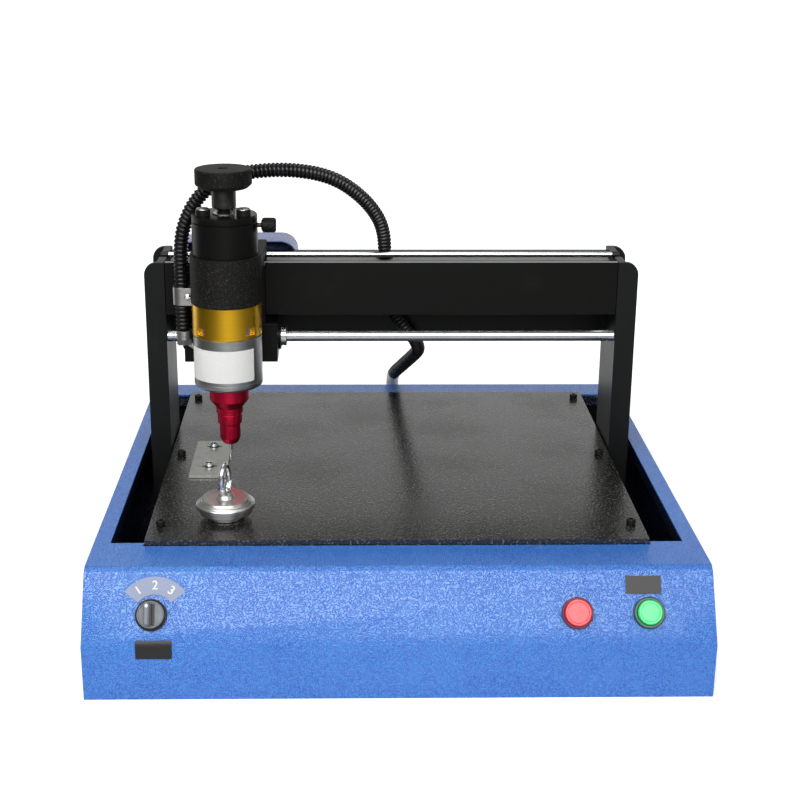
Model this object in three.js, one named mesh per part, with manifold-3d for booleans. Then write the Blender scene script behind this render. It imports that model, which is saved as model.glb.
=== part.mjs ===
// Nameplate marking machine: a sheet-metal base with a bolted work table, a gantry that travels
// front to back in the slots beside the table, and a carriage that carries the marking head from
// side to side along the gantry.
// Millimetres, +Z up, front towards -Y. The origin is under the middle of the base.

import * as THREE from "three";
import { mergeVertices } from "three/addons/utils/BufferGeometryUtils.js";
import Module from "manifold-3d";

const wasm = await Module();
wasm.setup();

// Gaps and shared allowances
const SEAT_GAP = 0.3;
const OVERRUN = 5;
const ROUND_SIDES = 24;
const SMALL_SIDES = 14;
const SCREW_SIDES = 12;
const CORNER_STEPS = 5;

// Base shell
const BASE_WIDTH = 560;
const BASE_DEPTH = 560;
const FRONT_HEIGHT = 51;
const TOP_HEIGHT = 110.5;
const PANEL_RUN = 37;
const SHEET = 2;
const SLOT_RIM = 15.4;
const SLOT_FRONT = 91;
const REAR_RIM = 39;
const LIP_DEPTH = 14;
const FOOT_FLANGE = 14;
const FLOOR_SHEET = 2;

// Work table
const TABLE_FRONT = 85;
const TABLE_REAR_GAP = 6;
const SLOT_WIDTH = 32.1;
const TABLE_THICKNESS = 7;
const TABLE_PROUD = 5;
const TABLE_CLEARANCE = 1;
const SCREW_EDGE_SIDE = 11;
const SCREW_EDGE_END = 35;
const SCREW_HEAD_RADIUS = 4.4;
const SCREW_HEAD_HEIGHT = 5;
const SCREW_SHANK_RADIUS = 2.5;
const SCREW_GRIP = 18;
const SOCKET_SHARE = 0.55;

// Frame under the table
const BEARER_WIDTH = 18;
const BEARER_HEIGHT = 20;
const BEARER_INSET = 2;
const CROSS_PLATE = 8;
const CROSS_FRONT = 60;
const CROSS_REAR_INSET = 20;

// Front-to-back guides and drive
const GUIDE_ROD_RADIUS = 6;
const GUIDE_HEIGHT = 57;
const DRIVE_SCREW_RADIUS = 6;
const DRIVE_JOURNAL_RADIUS = 3;
const DRIVE_JOURNAL_LENGTH = 12;
const MOTOR_SIZE = 42;
const Y_MOTOR_LENGTH = 37;
const X_MOTOR_LENGTH = 36;
const CROSSBAR_HEIGHT = 30;
const CROSSBAR_FRONT_INSET = 15;
const CROSSBAR_DEPTH = 51;

// Electronics on the floor
const CONTROLLER_WIDTH = 150;
const CONTROLLER_DEPTH = 180;
const CONTROLLER_HEIGHT = 34;
const CONTROLLER_FRONT = 110;
const CONTROLLER_SIDE_INSET = 42.5;

// Gantry, at the place where the photograph shows it
const GANTRY_FRONT = 320;
const GANTRY_DEPTH = 81;
const GANTRY_TABLE_GAP = 1.5;
const UPRIGHT_THICKNESS = 21;
const UPRIGHT_TOP = 320.5;
const UPRIGHT_BOTTOM = 38;
const UPRIGHT_CORNER = 13;
const UPRIGHT_WEB = 8;
const UPRIGHT_FLANGE = 6;
const UPRIGHT_POCKET_BOTTOM = 130;
const NOTCH_FRONT_INSET = 27;
const NOTCH_LENGTH = 25;
const FRONT_PLATE = 6;
const FRONT_PLATE_HEIGHT = 55.5;
const FRONT_PLATE_RECESS = 0.6;
const REAR_PLATE = 8;
const REAR_PLATE_TOP = 316;
const REAR_PLATE_BOTTOM = 225;
const REAR_SHELF = 3;
const REAR_SHELF_TOP = 311.7;
const REAR_SHELF_FRONT = 366;

// Side-to-side rods
const UPPER_ROD_RADIUS = 3;
const UPPER_ROD_INSET = 42;
const UPPER_ROD_HEIGHT = 319.4;
const UPPER_ROD_END = 8;
const LOWER_ROD_RADIUS = 6;
const LOWER_ROD_INSET = 6.2;
const LOWER_ROD_HEIGHT = 241;
const ROD_GROOVE_PLACE = 7;
const ROD_GROOVE_WIDTH = 1;
const ROD_GROOVE_DEPTH = 0.5;

// Side-to-side belt drive
const PULLEY_RADIUS = 10;
const PULLEY_FLANGE = 1.6;
const PULLEY_FLANGE_WIDTH = 1.2;
const PULLEY_SHAFT_RADIUS = 2.5;
const PULLEY_DROP = 35.5;
const PULLEY_SIDE_INSET = 29;
const BELT_WIDTH = 9;
const BELT_THICKNESS = 1.4;
const BELT_INSET = 14;

// Motor cover behind the gantry
const COVER_SIDE_INSET = 6;
const COVER_WIDTH = 128;
const COVER_DEPTH = 44;
const COVER_TOP = 325.5;
const COVER_BOTTOM = 246;
const COVER_CORNER = 18;
const COVER_SHEET = 1.6;

// Carriage
const HEAD_SIDE_INSET = 68;
const HEAD_INSET = 55;
const CARRIAGE_PLATE_WIDTH = 72;
const CARRIAGE_PLATE_THICKNESS = 14;
const CARRIAGE_PLATE_TOP = 322;
const CARRIAGE_FACE_GAP = 4;
const BEARING_BLOCK_WIDTH = 96;
const BEARING_BLOCK_BOTTOM = 219.6;
const BEARING_BLOCK_TOP = 260.6;
const BEARING_BLOCK_BACK_REACH = 21;
const BEARING_COLLAR_RADIUS = 14;
const BEARING_COLLAR_LENGTH = 3;
const BUSH_RADIUS = 10.4;
const BUSH_STICKOUT = 8.7;
const CLAMP_RADIUS = 35.6;
const CLAMP_WALL = 3;
const CLAMP_BOTTOM = 295;
const CLAMP_TOP = 343;
const CLAMP_BOSS_WIDTH = 44;
const ARM_WIDTH = 70;
const ARM_BOTTOM = 323.8;
const ARM_TOP = 334;
const SLIDER_REACH = 8;
const SLIDER_BOTTOM = 312;
const TONGUE_WIDTH = 24;
const TONGUE_THICKNESS = 15;
const TONGUE_GRIP = 5;

// Marking head
const TUBE_WALL = 3.8;
const TUBE_BOTTOM = 300;
const TUBE_TOP = 376;
const CAP_THICKNESS = 7;
const CAP_SCREW_RADIUS = 7.5;
const CAP_SCREW_HEIGHT = 8;
const CAP_SCREW_CIRCLE = 24;
const CAP_SCREW_COUNT = 3;
const SOCKET_DEPTH = 4;
const RING_RADIUS = 34.7;
const RING_BOTTOM = 262.3;
const RING_NOTCH_WIDTH = 8;
const RING_NOTCH_HEIGHT = 8;
const RING_NOTCH_DEPTH = 4;
const RING_NOTCH_TURN = 50;
const RING_NOTCH_COUNT = 4;
const GUIDE_WALL = 4.2;
const GUIDE_SLEEVE_TOP = 350;
const GUIDE_SLEEVE_ROOF = 6;
const GUIDE_SLEEVE_BOTTOM = 258;
const BODY_RADIUS = 34.4;
const BODY_BOTTOM = 208.5;
const BODY_EDGE = 3;
const BODY_FLOOR = 6.5;
const LABEL_THICKNESS = 0.4;
const LABEL_BOTTOM = 219;
const LABEL_TOP = 252;
const LABEL_TURN_LEFT = 72;
const LABEL_TURN_RIGHT = 51;
const LABEL_STEPS = 14;
const COIL_HEIGHT = 42;
const COIL_WALL = 15.5;
const PLUNGER_LIFT = 3.7;
const PLUNGER_HEIGHT = 35;
const NEEDLE_RADIUS = 2.5;
const POINT_RADIUS = 1;
const POINT_TOP = 145;
const POINT_CONE = 4;
const TIP_HEIGHT = 124;
const NOSE_HEIGHTS = { flange: 192.7, shoulder: 186, step: 178, second: 167, neck: 151, tip: 144.8 };
const NOSE_RADII = { flange: 19.8, shoulder: 13.5, step: 12.4, neck: 10.5, tip: 7.2 };

// Height knob and lock screw
const KNOB_RADIUS = 28;
const KNOB_HEIGHT = 19;
const KNOB_EDGE = 4;
const STEM_RADIUS = 12;
const STEM_RISE = 6;
const STEM_LENGTH = 19.5;
const SPINDLE_RADIUS = 7;
const SPINDLE_BOTTOM = 330;
const LOCK_SCREW_DROP = 4.5;
const LOCK_SHAFT_RADIUS = 2.2;
const LOCK_SHAFT_INSIDE = 2.5;
const LOCK_SHAFT_LENGTH = 3.7;
const LOCK_HEAD_RADIUS = 7.5;
const LOCK_HEAD_LENGTH = 14.4;

// Controls on the sloped panel, measured up the slope from the lower bend
const CONTROL_RISE = 28.5;
const SELECTOR_SIDE_INSET = 61;
const RED_SIDE_INSET = 123;
const GREEN_SIDE_INSET = 59.5;
const BEZEL_RADIUS = 14.1;
const BEZEL_BARREL_RADIUS = 10.9;
const BEZEL_DEPTH = 32;
const BEZEL_FLOOR = 1.5;
const PUSH_BEZEL_HEIGHT = 5;
const PUSH_TRAVEL = 3;
const PUSH_LENS_HEIGHT = 4;
const PUSH_STEM_RADIUS = 8;
const PUSH_STEM_DEPTH = 22;
const RED_LENS_RADIUS = 12;
const GREEN_LENS_RADIUS = 11;
const SELECTOR_BEZEL_HEIGHT = 3.5;
const SELECTOR_DISC_RADIUS = 12;
const SELECTOR_DISC_HEIGHT = 4;
const SELECTOR_GRIP_WIDTH = 10;
const SELECTOR_GRIP_HEIGHT = 11;
const SCALE_INNER = 18;
const SCALE_OUTER = 34;
const SCALE_TURN = 53;
const SCALE_STEPS = 12;
const SCALE_SHIFT = 2.7;
const PLATE_THICKNESS = 0.6;
const BENT_LABEL_WIDTH = 32;
const BENT_LABEL_UP = 6.5;
const BENT_LABEL_DOWN = 10.5;
const GREEN_LABEL_WIDTH = 31.5;
const GREEN_LABEL_HEIGHT = 16;
const GREEN_LABEL_RISE = 53.6;
const GREEN_LABEL_SHIFT = 3.8;

// Stop plate for locating the work
const STOP_SIDE_INSET = 25;
const STOP_WIDTH = 37.5;
const STOP_FRONT = 238.5;
const STOP_LENGTH = 101;
const STOP_THICKNESS = 3;
const STOP_SLOT_LENGTH = 16;
const STOP_SLOT_INSET = 19;
const STOP_SLOT_PLACES_SHARES = [0.255, 0.83];
const STOP_SHANK_RADIUS = 2;
const STOP_HEAD_RADIUS = 3.5;
const STOP_HEAD_HEIGHT = 2.6;

// Loose holding magnet
const MAGNET_SIDE_INSET = 70.5;
const MAGNET_FRONT_INSET = 56;
const MAGNET_FOOT_RADIUS = 20;
const MAGNET_FOOT_HEIGHT = 6.5;
const MAGNET_FLANGE_RADIUS = 28;
const MAGNET_FLANGE_TOP = 17;
const MAGNET_PLATEAU_RADIUS = 22.5;
const MAGNET_PLATEAU_TOP = 21;
const MAGNET_COLLAR_RADIUS = 8;
const MAGNET_COLLAR_TOP = 27.5;
const MAGNET_EYE_RADIUS = 11.75;
const MAGNET_WIRE_RADIUS = 2.5;
const MAGNET_EYE_SINK = 1;
const MAGNET_EYE_TURN = 70;
const EYE_STEPS = 20;

// Rear fittings
const INLET_SIDE_INSET = 75;
const INLET_HEIGHT = 50;
const INLET_WIDTH = 47;
const INLET_TALL = 27;
const INLET_BODY_DEPTH = 17;
const INLET_FLANGE = 4;
const INLET_FLANGE_THICKNESS = 2;
const INLET_WELL_DEPTH = 12;
const INLET_WALL = 3;

// Ribbed hose
const HOSE_RADIUS = 7.5;
const HOSE_GROOVE_RADIUS = 6.5;
const HOSE_BORE_RADIUS = 5.2;
const HOSE_SIDES = 8;
const HOSE_RIB_PITCH = 5.2;
const HOSE_RIBS_PER_BORE_RING = 5;
const HOSE_DROP_X = -6;
const HOSE_DROP_Y = 378.5;
const HOSE_SPLIT_HEIGHT = 300;
const HOSE_EYE_HEIGHT = 14;
const HOSE_EYE_WALL = 1.8;
const STRAP_WALL = 1.4;
const STRAP_BOTTOM = 285.5;
const STRAP_HEIGHT = 18;
const STRAP_SCREW_RADIUS = 2.6;
const STRAP_SCREW_HEIGHT = 2;
const ELBOW_RADIUS = 7.6;
const ELBOW_BORE = 5.2;
const ELBOW_STEPS = 14;

// Routes of the hose, chosen by hand
const HOSE_LEFT_X = -213;
const HOSE_LEFT_Y = 290;
const HOSE_LEFT_BOTTOM = 259;
const UPPER_HOSE_ROUTE = [
  [-213, 290, 259],
  [-213, 290, 274],
  [-213, 290, 289],
  [-213, 290, 305],
  [-213, 290, 322],
  [-212.6, 290, 338],
  [-211.5, 290, 351],
  [-209.2, 290.3, 362.5],
  [-205.5, 291.5, 373],
  [-200.5, 293.5, 383],
  [-193.3, 296.5, 393],
  [-183.5, 300, 402],
  [-171, 303, 409.5],
  [-156.5, 305.5, 414.3],
  [-140, 308, 416.5],
  [-117, 313.5, 417.3],
  [-93.5, 321, 415],
  [-70, 331, 408.8],
  [-53, 338.8, 400.5],
  [-39, 347, 389.8],
  [-26.5, 355.5, 377],
  [-17.5, 363, 364.5],
  [-11, 369.8, 351.5],
  [-7.4, 375.4, 337.5],
  [-6.3, 377.9, 326],
  [-6, 378.5, 315.3],
  [-6, 378.5, 300.3],
];
const LOWER_HOSE_ROUTE = [
  [-6, 378.5, 300],
  [-6, 378.5, 285],
  [-2.8, 377.6, 267],
  [5.5, 376.7, 251],
  [16, 378.4, 236.3],
  [25.5, 385, 222.5],
  [31, 397, 210],
  [32.5, 412, 200],
  [30.5, 427.7, 191],
  [27.8, 443.6, 182.6],
  [25, 459.5, 174.3],
  [22, 475.4, 166],
  [19.2, 491.3, 157.7],
  [16.4, 507.3, 149.5],
  [13.7, 523.4, 141.5],
  [11.8, 539.7, 133.7],
  [11, 553.4, 127.6],
];
const ELBOW_ROUTE = [
  [11, 553.7, 127.5],
  [10.4, 563.5, 123.1],
  [9.9, 571.5, 116.3],
  [9.6, 576.3, 107],
  [9.6, 576.3, 97],
  [9.6, 571.5, 88.5],
  [9.6, 562, 85],
  [9.6, 549, 85],
];

// Worked-out places
const CENTRE_Y = BASE_DEPTH / 2;
const HALF_WIDTH = BASE_WIDTH / 2;
const OPENING_HALF = HALF_WIDTH - SLOT_RIM;
const OPENING_REAR = BASE_DEPTH - REAR_RIM;
const TABLE_HALF = OPENING_HALF - SLOT_WIDTH;
const TABLE_REAR = OPENING_REAR - TABLE_REAR_GAP;
const CROSS_REAR = BASE_DEPTH - CROSS_REAR_INSET;
const TABLE_TOP = TOP_HEIGHT + TABLE_PROUD;
const TABLE_UNDERSIDE = TABLE_TOP - TABLE_THICKNESS;
const FRAME_TOP = TABLE_UNDERSIDE - SEAT_GAP;
const FRAME_BOTTOM = FLOOR_SHEET + SHEET + SEAT_GAP + SEAT_GAP;
const PANEL_LEAN = Math.atan2(PANEL_RUN, TOP_HEIGHT - FRONT_HEIGHT);
const GANTRY_INSIDE = TABLE_HALF + GANTRY_TABLE_GAP;
const GANTRY_HALF = GANTRY_INSIDE + UPRIGHT_THICKNESS;
const GANTRY_REAR = GANTRY_FRONT + GANTRY_DEPTH;
const GUIDE_X = GANTRY_HALF - UPRIGHT_THICKNESS / 2;
const PULLEY_REACH = GANTRY_INSIDE - PULLEY_SIDE_INSET;
const PULLEY_HEIGHT = UPRIGHT_TOP - PULLEY_DROP;
const COVER_LEFT = GANTRY_INSIDE - COVER_SIDE_INSET;
const COVER_RIGHT = COVER_LEFT - COVER_WIDTH;
const CONTROLLER_LEFT = TABLE_HALF - CONTROLLER_SIDE_INSET;
const SELECTOR_X = -HALF_WIDTH + SELECTOR_SIDE_INSET;
const SCALE_X = SELECTOR_X + SCALE_SHIFT;
const RED_X = HALF_WIDTH - RED_SIDE_INSET;
const GREEN_X = HALF_WIDTH - GREEN_SIDE_INSET;
const GREEN_LABEL_X = GREEN_X - GREEN_LABEL_SHIFT;
const STOP_LEFT = TABLE_HALF - STOP_SIDE_INSET;
const MAGNET_X = -TABLE_HALF + MAGNET_SIDE_INSET;
const MAGNET_Y = TABLE_FRONT + MAGNET_FRONT_INSET;
const INLET_X = HALF_WIDTH - INLET_SIDE_INSET;
const HEAD_X = -GANTRY_INSIDE + HEAD_SIDE_INSET;
const HEAD_Y = GANTRY_FRONT - HEAD_INSET;
const TUBE_RADIUS = CLAMP_RADIUS - CLAMP_WALL - SEAT_GAP;
const CAP_TOP = TUBE_TOP + CAP_THICKNESS;
const STEM_BOTTOM = CAP_TOP + STEM_RISE;
const KNOB_BOTTOM = STEM_BOTTOM + STEM_LENGTH;
const KNOB_TOP = KNOB_BOTTOM + KNOB_HEIGHT;
const LOCK_SCREW_HEIGHT = TUBE_TOP - LOCK_SCREW_DROP;
const GUIDE_RADIUS = TUBE_RADIUS - TUBE_WALL - SEAT_GAP;
const UPPER_ROD_Y = GANTRY_FRONT + UPPER_ROD_INSET;
const LOWER_ROD_Y = GANTRY_FRONT + LOWER_ROD_INSET;
const CARRIAGE_BACK = GANTRY_FRONT - CARRIAGE_FACE_GAP;
const CARRIAGE_FACE = CARRIAGE_BACK - CARRIAGE_PLATE_THICKNESS;
const REAR_PLATE_FRONT = GANTRY_REAR - REAR_PLATE;
const BELT_FRONT = GANTRY_FRONT + BELT_INSET;
const BELT_REAR = BELT_FRONT + BELT_WIDTH;

function material(colour, roughness, metalness) {
  return new THREE.MeshStandardMaterial({ color: colour, roughness, metalness });
}

const PAINT = { blue: 0x4f86e0, speckle: 0x2b2c2e, black: 0x232424, rough: 0x1b1c1c, graphite: 0x3a3c3e };
const METAL = {
  steel: 0xc9cfd2,
  brushed: 0x9da2a3,
  gold: 0xd9a62a,
  red: 0xb81f3d,
  nickel: 0xd8dadb,
  zinc: 0xafb2aa,
};
const PLASTIC = {
  grey: 0x969ba3,
  red: 0xf2474c,
  maroon: 0x5a0d18,
  green: 0x46f08f,
  dark: 0x1e4d2f,
  white: 0xf2f2f0,
};
const BOARD = { green: 0x1f6b46, rubber: 0x1a1b1d, label: 0x17181a, film: 0xb9bcc4 };

function piece(name, geometry, colour, roughness, metalness) {
  const mesh = new THREE.Mesh(geometry, material(colour, roughness, metalness));
  mesh.name = name;
  return mesh;
}

// A box between two corners
function block(x0, x1, y0, y1, z0, z1) {
  const geometry = new THREE.BoxGeometry(x1 - x0, y1 - y0, z1 - z0);
  return geometry.translate((x0 + x1) / 2, (y0 + y1) / 2, (z0 + z1) / 2);
}

// A round bar along X, Y or Z from one end to the other
function bar(axis, radius, start, end, sides = ROUND_SIDES) {
  const geometry = new THREE.CylinderGeometry(radius, radius, end - start, sides);
  geometry.translate(0, (start + end) / 2, 0);
  if (axis === "z") geometry.rotateX(Math.PI / 2);
  if (axis === "x") geometry.rotateZ(-Math.PI / 2);
  return geometry;
}

// A turned piece about Z: the outline runs from the bottom, round the outside, to the top
function turned(outline, sides = ROUND_SIDES) {
  const points = outline.map(([radius, height]) => new THREE.Vector2(radius, height));
  return new THREE.LatheGeometry(points, sides).rotateX(Math.PI / 2);
}

// A turned sleeve about Z with a plain bore
function sleeve(outer, inner, bottom, top, sides = ROUND_SIDES) {
  return turned([[inner, bottom], [outer, bottom], [outer, top], [inner, top], [inner, bottom]], sides);
}

// An outline in Y and Z, drawn out along X
function prismAlongX(outline, x0, x1) {
  const shape = new THREE.Shape(outline.map(([y, z]) => new THREE.Vector2(y, z)));
  const geometry = new THREE.ExtrudeGeometry(shape, { depth: x1 - x0, bevelEnabled: false });
  const across = new THREE.Vector3(0, 1, 0);
  const up = new THREE.Vector3(0, 0, 1);
  const along = new THREE.Vector3(1, 0, 0);
  geometry.applyMatrix4(new THREE.Matrix4().makeBasis(across, up, along));
  return geometry.translate(x0, 0, 0);
}

// A shape in X and Z, drawn out along Y
function prismAlongY(shape, y0, y1) {
  const geometry = new THREE.ExtrudeGeometry(shape, {
    depth: y1 - y0,
    bevelEnabled: false,
    curveSegments: CORNER_STEPS,
  });
  return geometry.rotateX(Math.PI / 2).translate(0, y1, 0);
}

function toSolid(geometry) {
  const bare = geometry.clone();
  bare.deleteAttribute("normal");
  bare.deleteAttribute("uv");
  const merged = mergeVertices(bare);
  const vertProperties = new Float32Array(merged.attributes.position.array);
  const triVerts = new Uint32Array(merged.index.array);
  const mesh = new wasm.Mesh({ numProp: 3, vertProperties, triVerts });
  mesh.merge();
  return new wasm.Manifold(mesh);
}

function toGeometry(solid) {
  const { vertProperties, triVerts } = solid.getMesh();
  const geometry = new THREE.BufferGeometry();
  geometry.setAttribute("position", new THREE.BufferAttribute(new Float32Array(vertProperties), 3));
  geometry.setIndex(new THREE.BufferAttribute(new Uint32Array(triVerts), 1));
  geometry.computeVertexNormals();
  return geometry;
}

function cut(body, ...tools) {
  let solid = toSolid(body);
  for (const tool of tools) {
    solid = solid.subtract(toSolid(tool));
  }
  return toGeometry(solid);
}

function join(...bodies) {
  let solid = toSolid(bodies[0]);
  for (const body of bodies.slice(1)) {
    solid = solid.add(toSolid(body));
  }
  return toGeometry(solid);
}

// The two bends of the base's side outline, moved inwards by a distance
function bendsAt(distance) {
  const lower = [distance, FRONT_HEIGHT - distance * Math.tan(PANEL_LEAN / 2)];
  const upper = [PANEL_RUN + distance * Math.tan(Math.PI / 4 - PANEL_LEAN / 2), TOP_HEIGHT - distance];
  return [lower, upper];
}

// A panel group whose own Z stands square off the sloped panel
function panelGroup() {
  const group = new THREE.Group();
  group.position.set(0, 0, FRONT_HEIGHT);
  group.rotation.x = Math.PI / 2 - PANEL_LEAN;
  return group;
}

// A tool in panel measures, laid into the base's own frame
function ontoPanel(geometry) {
  const group = panelGroup();
  group.updateMatrix();
  return geometry.applyMatrix4(group.matrix);
}

function baseShell() {
  const outside = [[0, 0], ...bendsAt(0), [BASE_DEPTH, TOP_HEIGHT], [BASE_DEPTH, 0]];
  const inside = [
    [SHEET, -OVERRUN],
    ...bendsAt(SHEET),
    [BASE_DEPTH - SHEET, TOP_HEIGHT - SHEET],
    [BASE_DEPTH - SHEET, -OVERRUN],
  ];
  const inner = HALF_WIDTH - SHEET;
  const lipTop = TOP_HEIGHT - SHEET / 2;
  const lipBottom = TOP_HEIGHT - LIP_DEPTH;
  const tableSide = TABLE_HALF + TABLE_CLEARANCE;
  const tableFront = TABLE_FRONT - TABLE_CLEARANCE;
  const flangeBottom = FLOOR_SHEET + SEAT_GAP;
  const flangeTop = flangeBottom + SHEET;
  const flangeInset = SHEET + FOOT_FLANGE;
  const half = SHEET / 2;
  const folded = cut(prismAlongX(outside, -HALF_WIDTH, HALF_WIDTH), prismAlongX(inside, -inner, inner));
  const flange = cut(
    block(-HALF_WIDTH + half, HALF_WIDTH - half, half, BASE_DEPTH - half, flangeBottom, flangeTop),
    block(
      -HALF_WIDTH + flangeInset, HALF_WIDTH - flangeInset,
      flangeInset, BASE_DEPTH - flangeInset,
      flangeBottom - OVERRUN, flangeTop + OVERRUN,
    ),
  );
  const slotLip = block(
    -OPENING_HALF - SHEET, OPENING_HALF + SHEET, SLOT_FRONT - SHEET, OPENING_REAR + SHEET, lipBottom, lipTop,
  );
  const frontLip = block(
    -tableSide - SHEET, tableSide + SHEET, tableFront - SHEET, SLOT_FRONT, lipBottom, lipTop,
  );
  const slotOpening = block(
    -OPENING_HALF, OPENING_HALF, SLOT_FRONT, OPENING_REAR, lipBottom - OVERRUN, TOP_HEIGHT + OVERRUN,
  );
  const frontOpening = block(
    -tableSide, tableSide, tableFront, SLOT_FRONT + OVERRUN, lipBottom - OVERRUN, TOP_HEIGHT + OVERRUN,
  );
  const controlHoles = [SELECTOR_X, RED_X, GREEN_X].map((x) => {
    const hole = bar("z", BEZEL_BARREL_RADIUS + SEAT_GAP, -OVERRUN, OVERRUN);
    return ontoPanel(hole.translate(x, CONTROL_RISE, 0));
  });
  const [elbowX, , elbowZ] = ELBOW_ROUTE[ELBOW_ROUTE.length - 1];
  const elbowHole = bar("y", ELBOW_RADIUS + SEAT_GAP, -OVERRUN, OVERRUN);
  elbowHole.translate(elbowX, BASE_DEPTH, elbowZ);
  const inletHole = block(
    INLET_X - INLET_WIDTH / 2 - SEAT_GAP, INLET_X + INLET_WIDTH / 2 + SEAT_GAP,
    BASE_DEPTH - OVERRUN, BASE_DEPTH + OVERRUN,
    INLET_HEIGHT - INLET_TALL / 2 - SEAT_GAP, INLET_HEIGHT + INLET_TALL / 2 + SEAT_GAP,
  );
  return cut(
    join(folded, flange, slotLip, frontLip),
    slotOpening, frontOpening, ...controlHoles, elbowHole, inletHole,
  );
}

function baseFloor() {
  const inset = SHEET + SEAT_GAP;
  return block(-HALF_WIDTH + inset, HALF_WIDTH - inset, inset, BASE_DEPTH - inset, 0, FLOOR_SHEET);
}

// Centres of the table's screws, front to back on each side
function tableScrewPlaces() {
  const sides = [-TABLE_HALF + SCREW_EDGE_SIDE, TABLE_HALF - SCREW_EDGE_SIDE];
  const first = TABLE_FRONT + SCREW_EDGE_END;
  const last = TABLE_REAR - SCREW_EDGE_END + SCREW_EDGE_SIDE;
  return sides.flatMap((x) => [first, (first + last) / 2, last].map((y) => [x, y]));
}

function stopScrewPlaces() {
  const x = -STOP_LEFT + STOP_SLOT_INSET;
  return STOP_SLOT_PLACES_SHARES.map((share) => [x, STOP_FRONT + STOP_LENGTH * share]);
}

function tablePlate() {
  const holeBottom = TABLE_UNDERSIDE - OVERRUN;
  const holeTop = TABLE_TOP + OVERRUN;
  const screwHoles = tableScrewPlaces().map(([x, y]) =>
    bar("z", SCREW_SHANK_RADIUS + SEAT_GAP, holeBottom, holeTop, SCREW_SIDES).translate(x, y, 0));
  const stopHoles = stopScrewPlaces().map(([x, y]) =>
    bar("z", STOP_SHANK_RADIUS + SEAT_GAP, holeBottom, holeTop, SCREW_SIDES).translate(x, y, 0));
  const plate = block(-TABLE_HALF, TABLE_HALF, TABLE_FRONT, TABLE_REAR, TABLE_UNDERSIDE, TABLE_TOP);
  return cut(plate, ...screwHoles, ...stopHoles);
}

// A socket cap screw about Z, its head's underside at height zero
function capScrew(headRadius, headHeight, shankRadius, grip) {
  const socketRadius = headRadius * SOCKET_SHARE;
  return turned([
    [0, -grip],
    [shankRadius, -grip],
    [shankRadius, 0],
    [headRadius, 0],
    [headRadius, headHeight],
    [socketRadius, headHeight],
    [socketRadius, headHeight * (1 - SOCKET_SHARE)],
    [0, headHeight * (1 - SOCKET_SHARE)],
  ], SCREW_SIDES);
}

// The welded frame that carries the table, the guide rods and the drive screw
function tableFrame() {
  const outer = TABLE_HALF - BEARER_INSET;
  const inner = outer - BEARER_WIDTH;
  const plateHalf = HALF_WIDTH - SHEET - SEAT_GAP;
  const railTop = TOP_HEIGHT - LIP_DEPTH - SEAT_GAP;
  const padFront = TABLE_FRONT + BEARER_INSET;
  const padRear = OPENING_REAR - BEARER_INSET;
  const bearers = [[-outer, -inner], [inner, outer]].flatMap(([x0, x1]) => [
    block(x0, x1, CROSS_FRONT, CROSS_REAR, FRAME_TOP - BEARER_HEIGHT, railTop),
    block(x0, x1, padFront, padRear, railTop - OVERRUN, FRAME_TOP),
  ]);
  const plates = [CROSS_FRONT, CROSS_REAR - CROSS_PLATE].map((y) =>
    block(-plateHalf, plateHalf, y, y + CROSS_PLATE, FRAME_BOTTOM, FRAME_TOP));
  const start = CROSS_FRONT - OVERRUN;
  const end = CROSS_REAR + OVERRUN;
  const rodHoles = [-GUIDE_X, GUIDE_X].map((x) =>
    bar("y", GUIDE_ROD_RADIUS + SEAT_GAP, start, end, SMALL_SIDES).translate(x, 0, GUIDE_HEIGHT));
  const screwHole = bar("y", DRIVE_SCREW_RADIUS + SEAT_GAP, start, end, SMALL_SIDES);
  screwHole.translate(0, 0, GUIDE_HEIGHT);
  const threads = tableScrewPlaces().map(([x, y]) => {
    const hole = bar("z", SCREW_SHANK_RADIUS + SEAT_GAP, FRAME_TOP - BEARER_HEIGHT - OVERRUN,
      FRAME_TOP + OVERRUN, SCREW_SIDES);
    return hole.translate(x, y, 0);
  });
  return cut(join(...bearers, ...plates), ...rodHoles, screwHole, ...threads);
}

function driveScrew() {
  const screw = bar("y", DRIVE_SCREW_RADIUS, CROSS_FRONT + SEAT_GAP, CROSS_REAR, SMALL_SIDES);
  const journal = bar("y", DRIVE_JOURNAL_RADIUS, CROSS_FRONT - DRIVE_JOURNAL_LENGTH,
    CROSS_FRONT + OVERRUN, SMALL_SIDES);
  return join(screw, journal).translate(0, 0, GUIDE_HEIGHT);
}

function yMotor() {
  const half = MOTOR_SIZE / 2;
  const front = CROSS_FRONT - SEAT_GAP - Y_MOTOR_LENGTH;
  const body = block(-half, half, front, CROSS_FRONT - SEAT_GAP, GUIDE_HEIGHT - half, GUIDE_HEIGHT + half);
  const bore = bar("y", DRIVE_JOURNAL_RADIUS + SEAT_GAP,
    CROSS_FRONT - DRIVE_JOURNAL_LENGTH - OVERRUN, CROSS_FRONT + OVERRUN, SMALL_SIDES);
  return cut(body, bore.translate(0, 0, GUIDE_HEIGHT));
}

function controlUnit() {
  const bottom = FLOOR_SHEET + SEAT_GAP;
  return block(-CONTROLLER_LEFT, -CONTROLLER_LEFT + CONTROLLER_WIDTH,
    CONTROLLER_FRONT, CONTROLLER_FRONT + CONTROLLER_DEPTH, bottom, bottom + CONTROLLER_HEIGHT);
}

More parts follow.
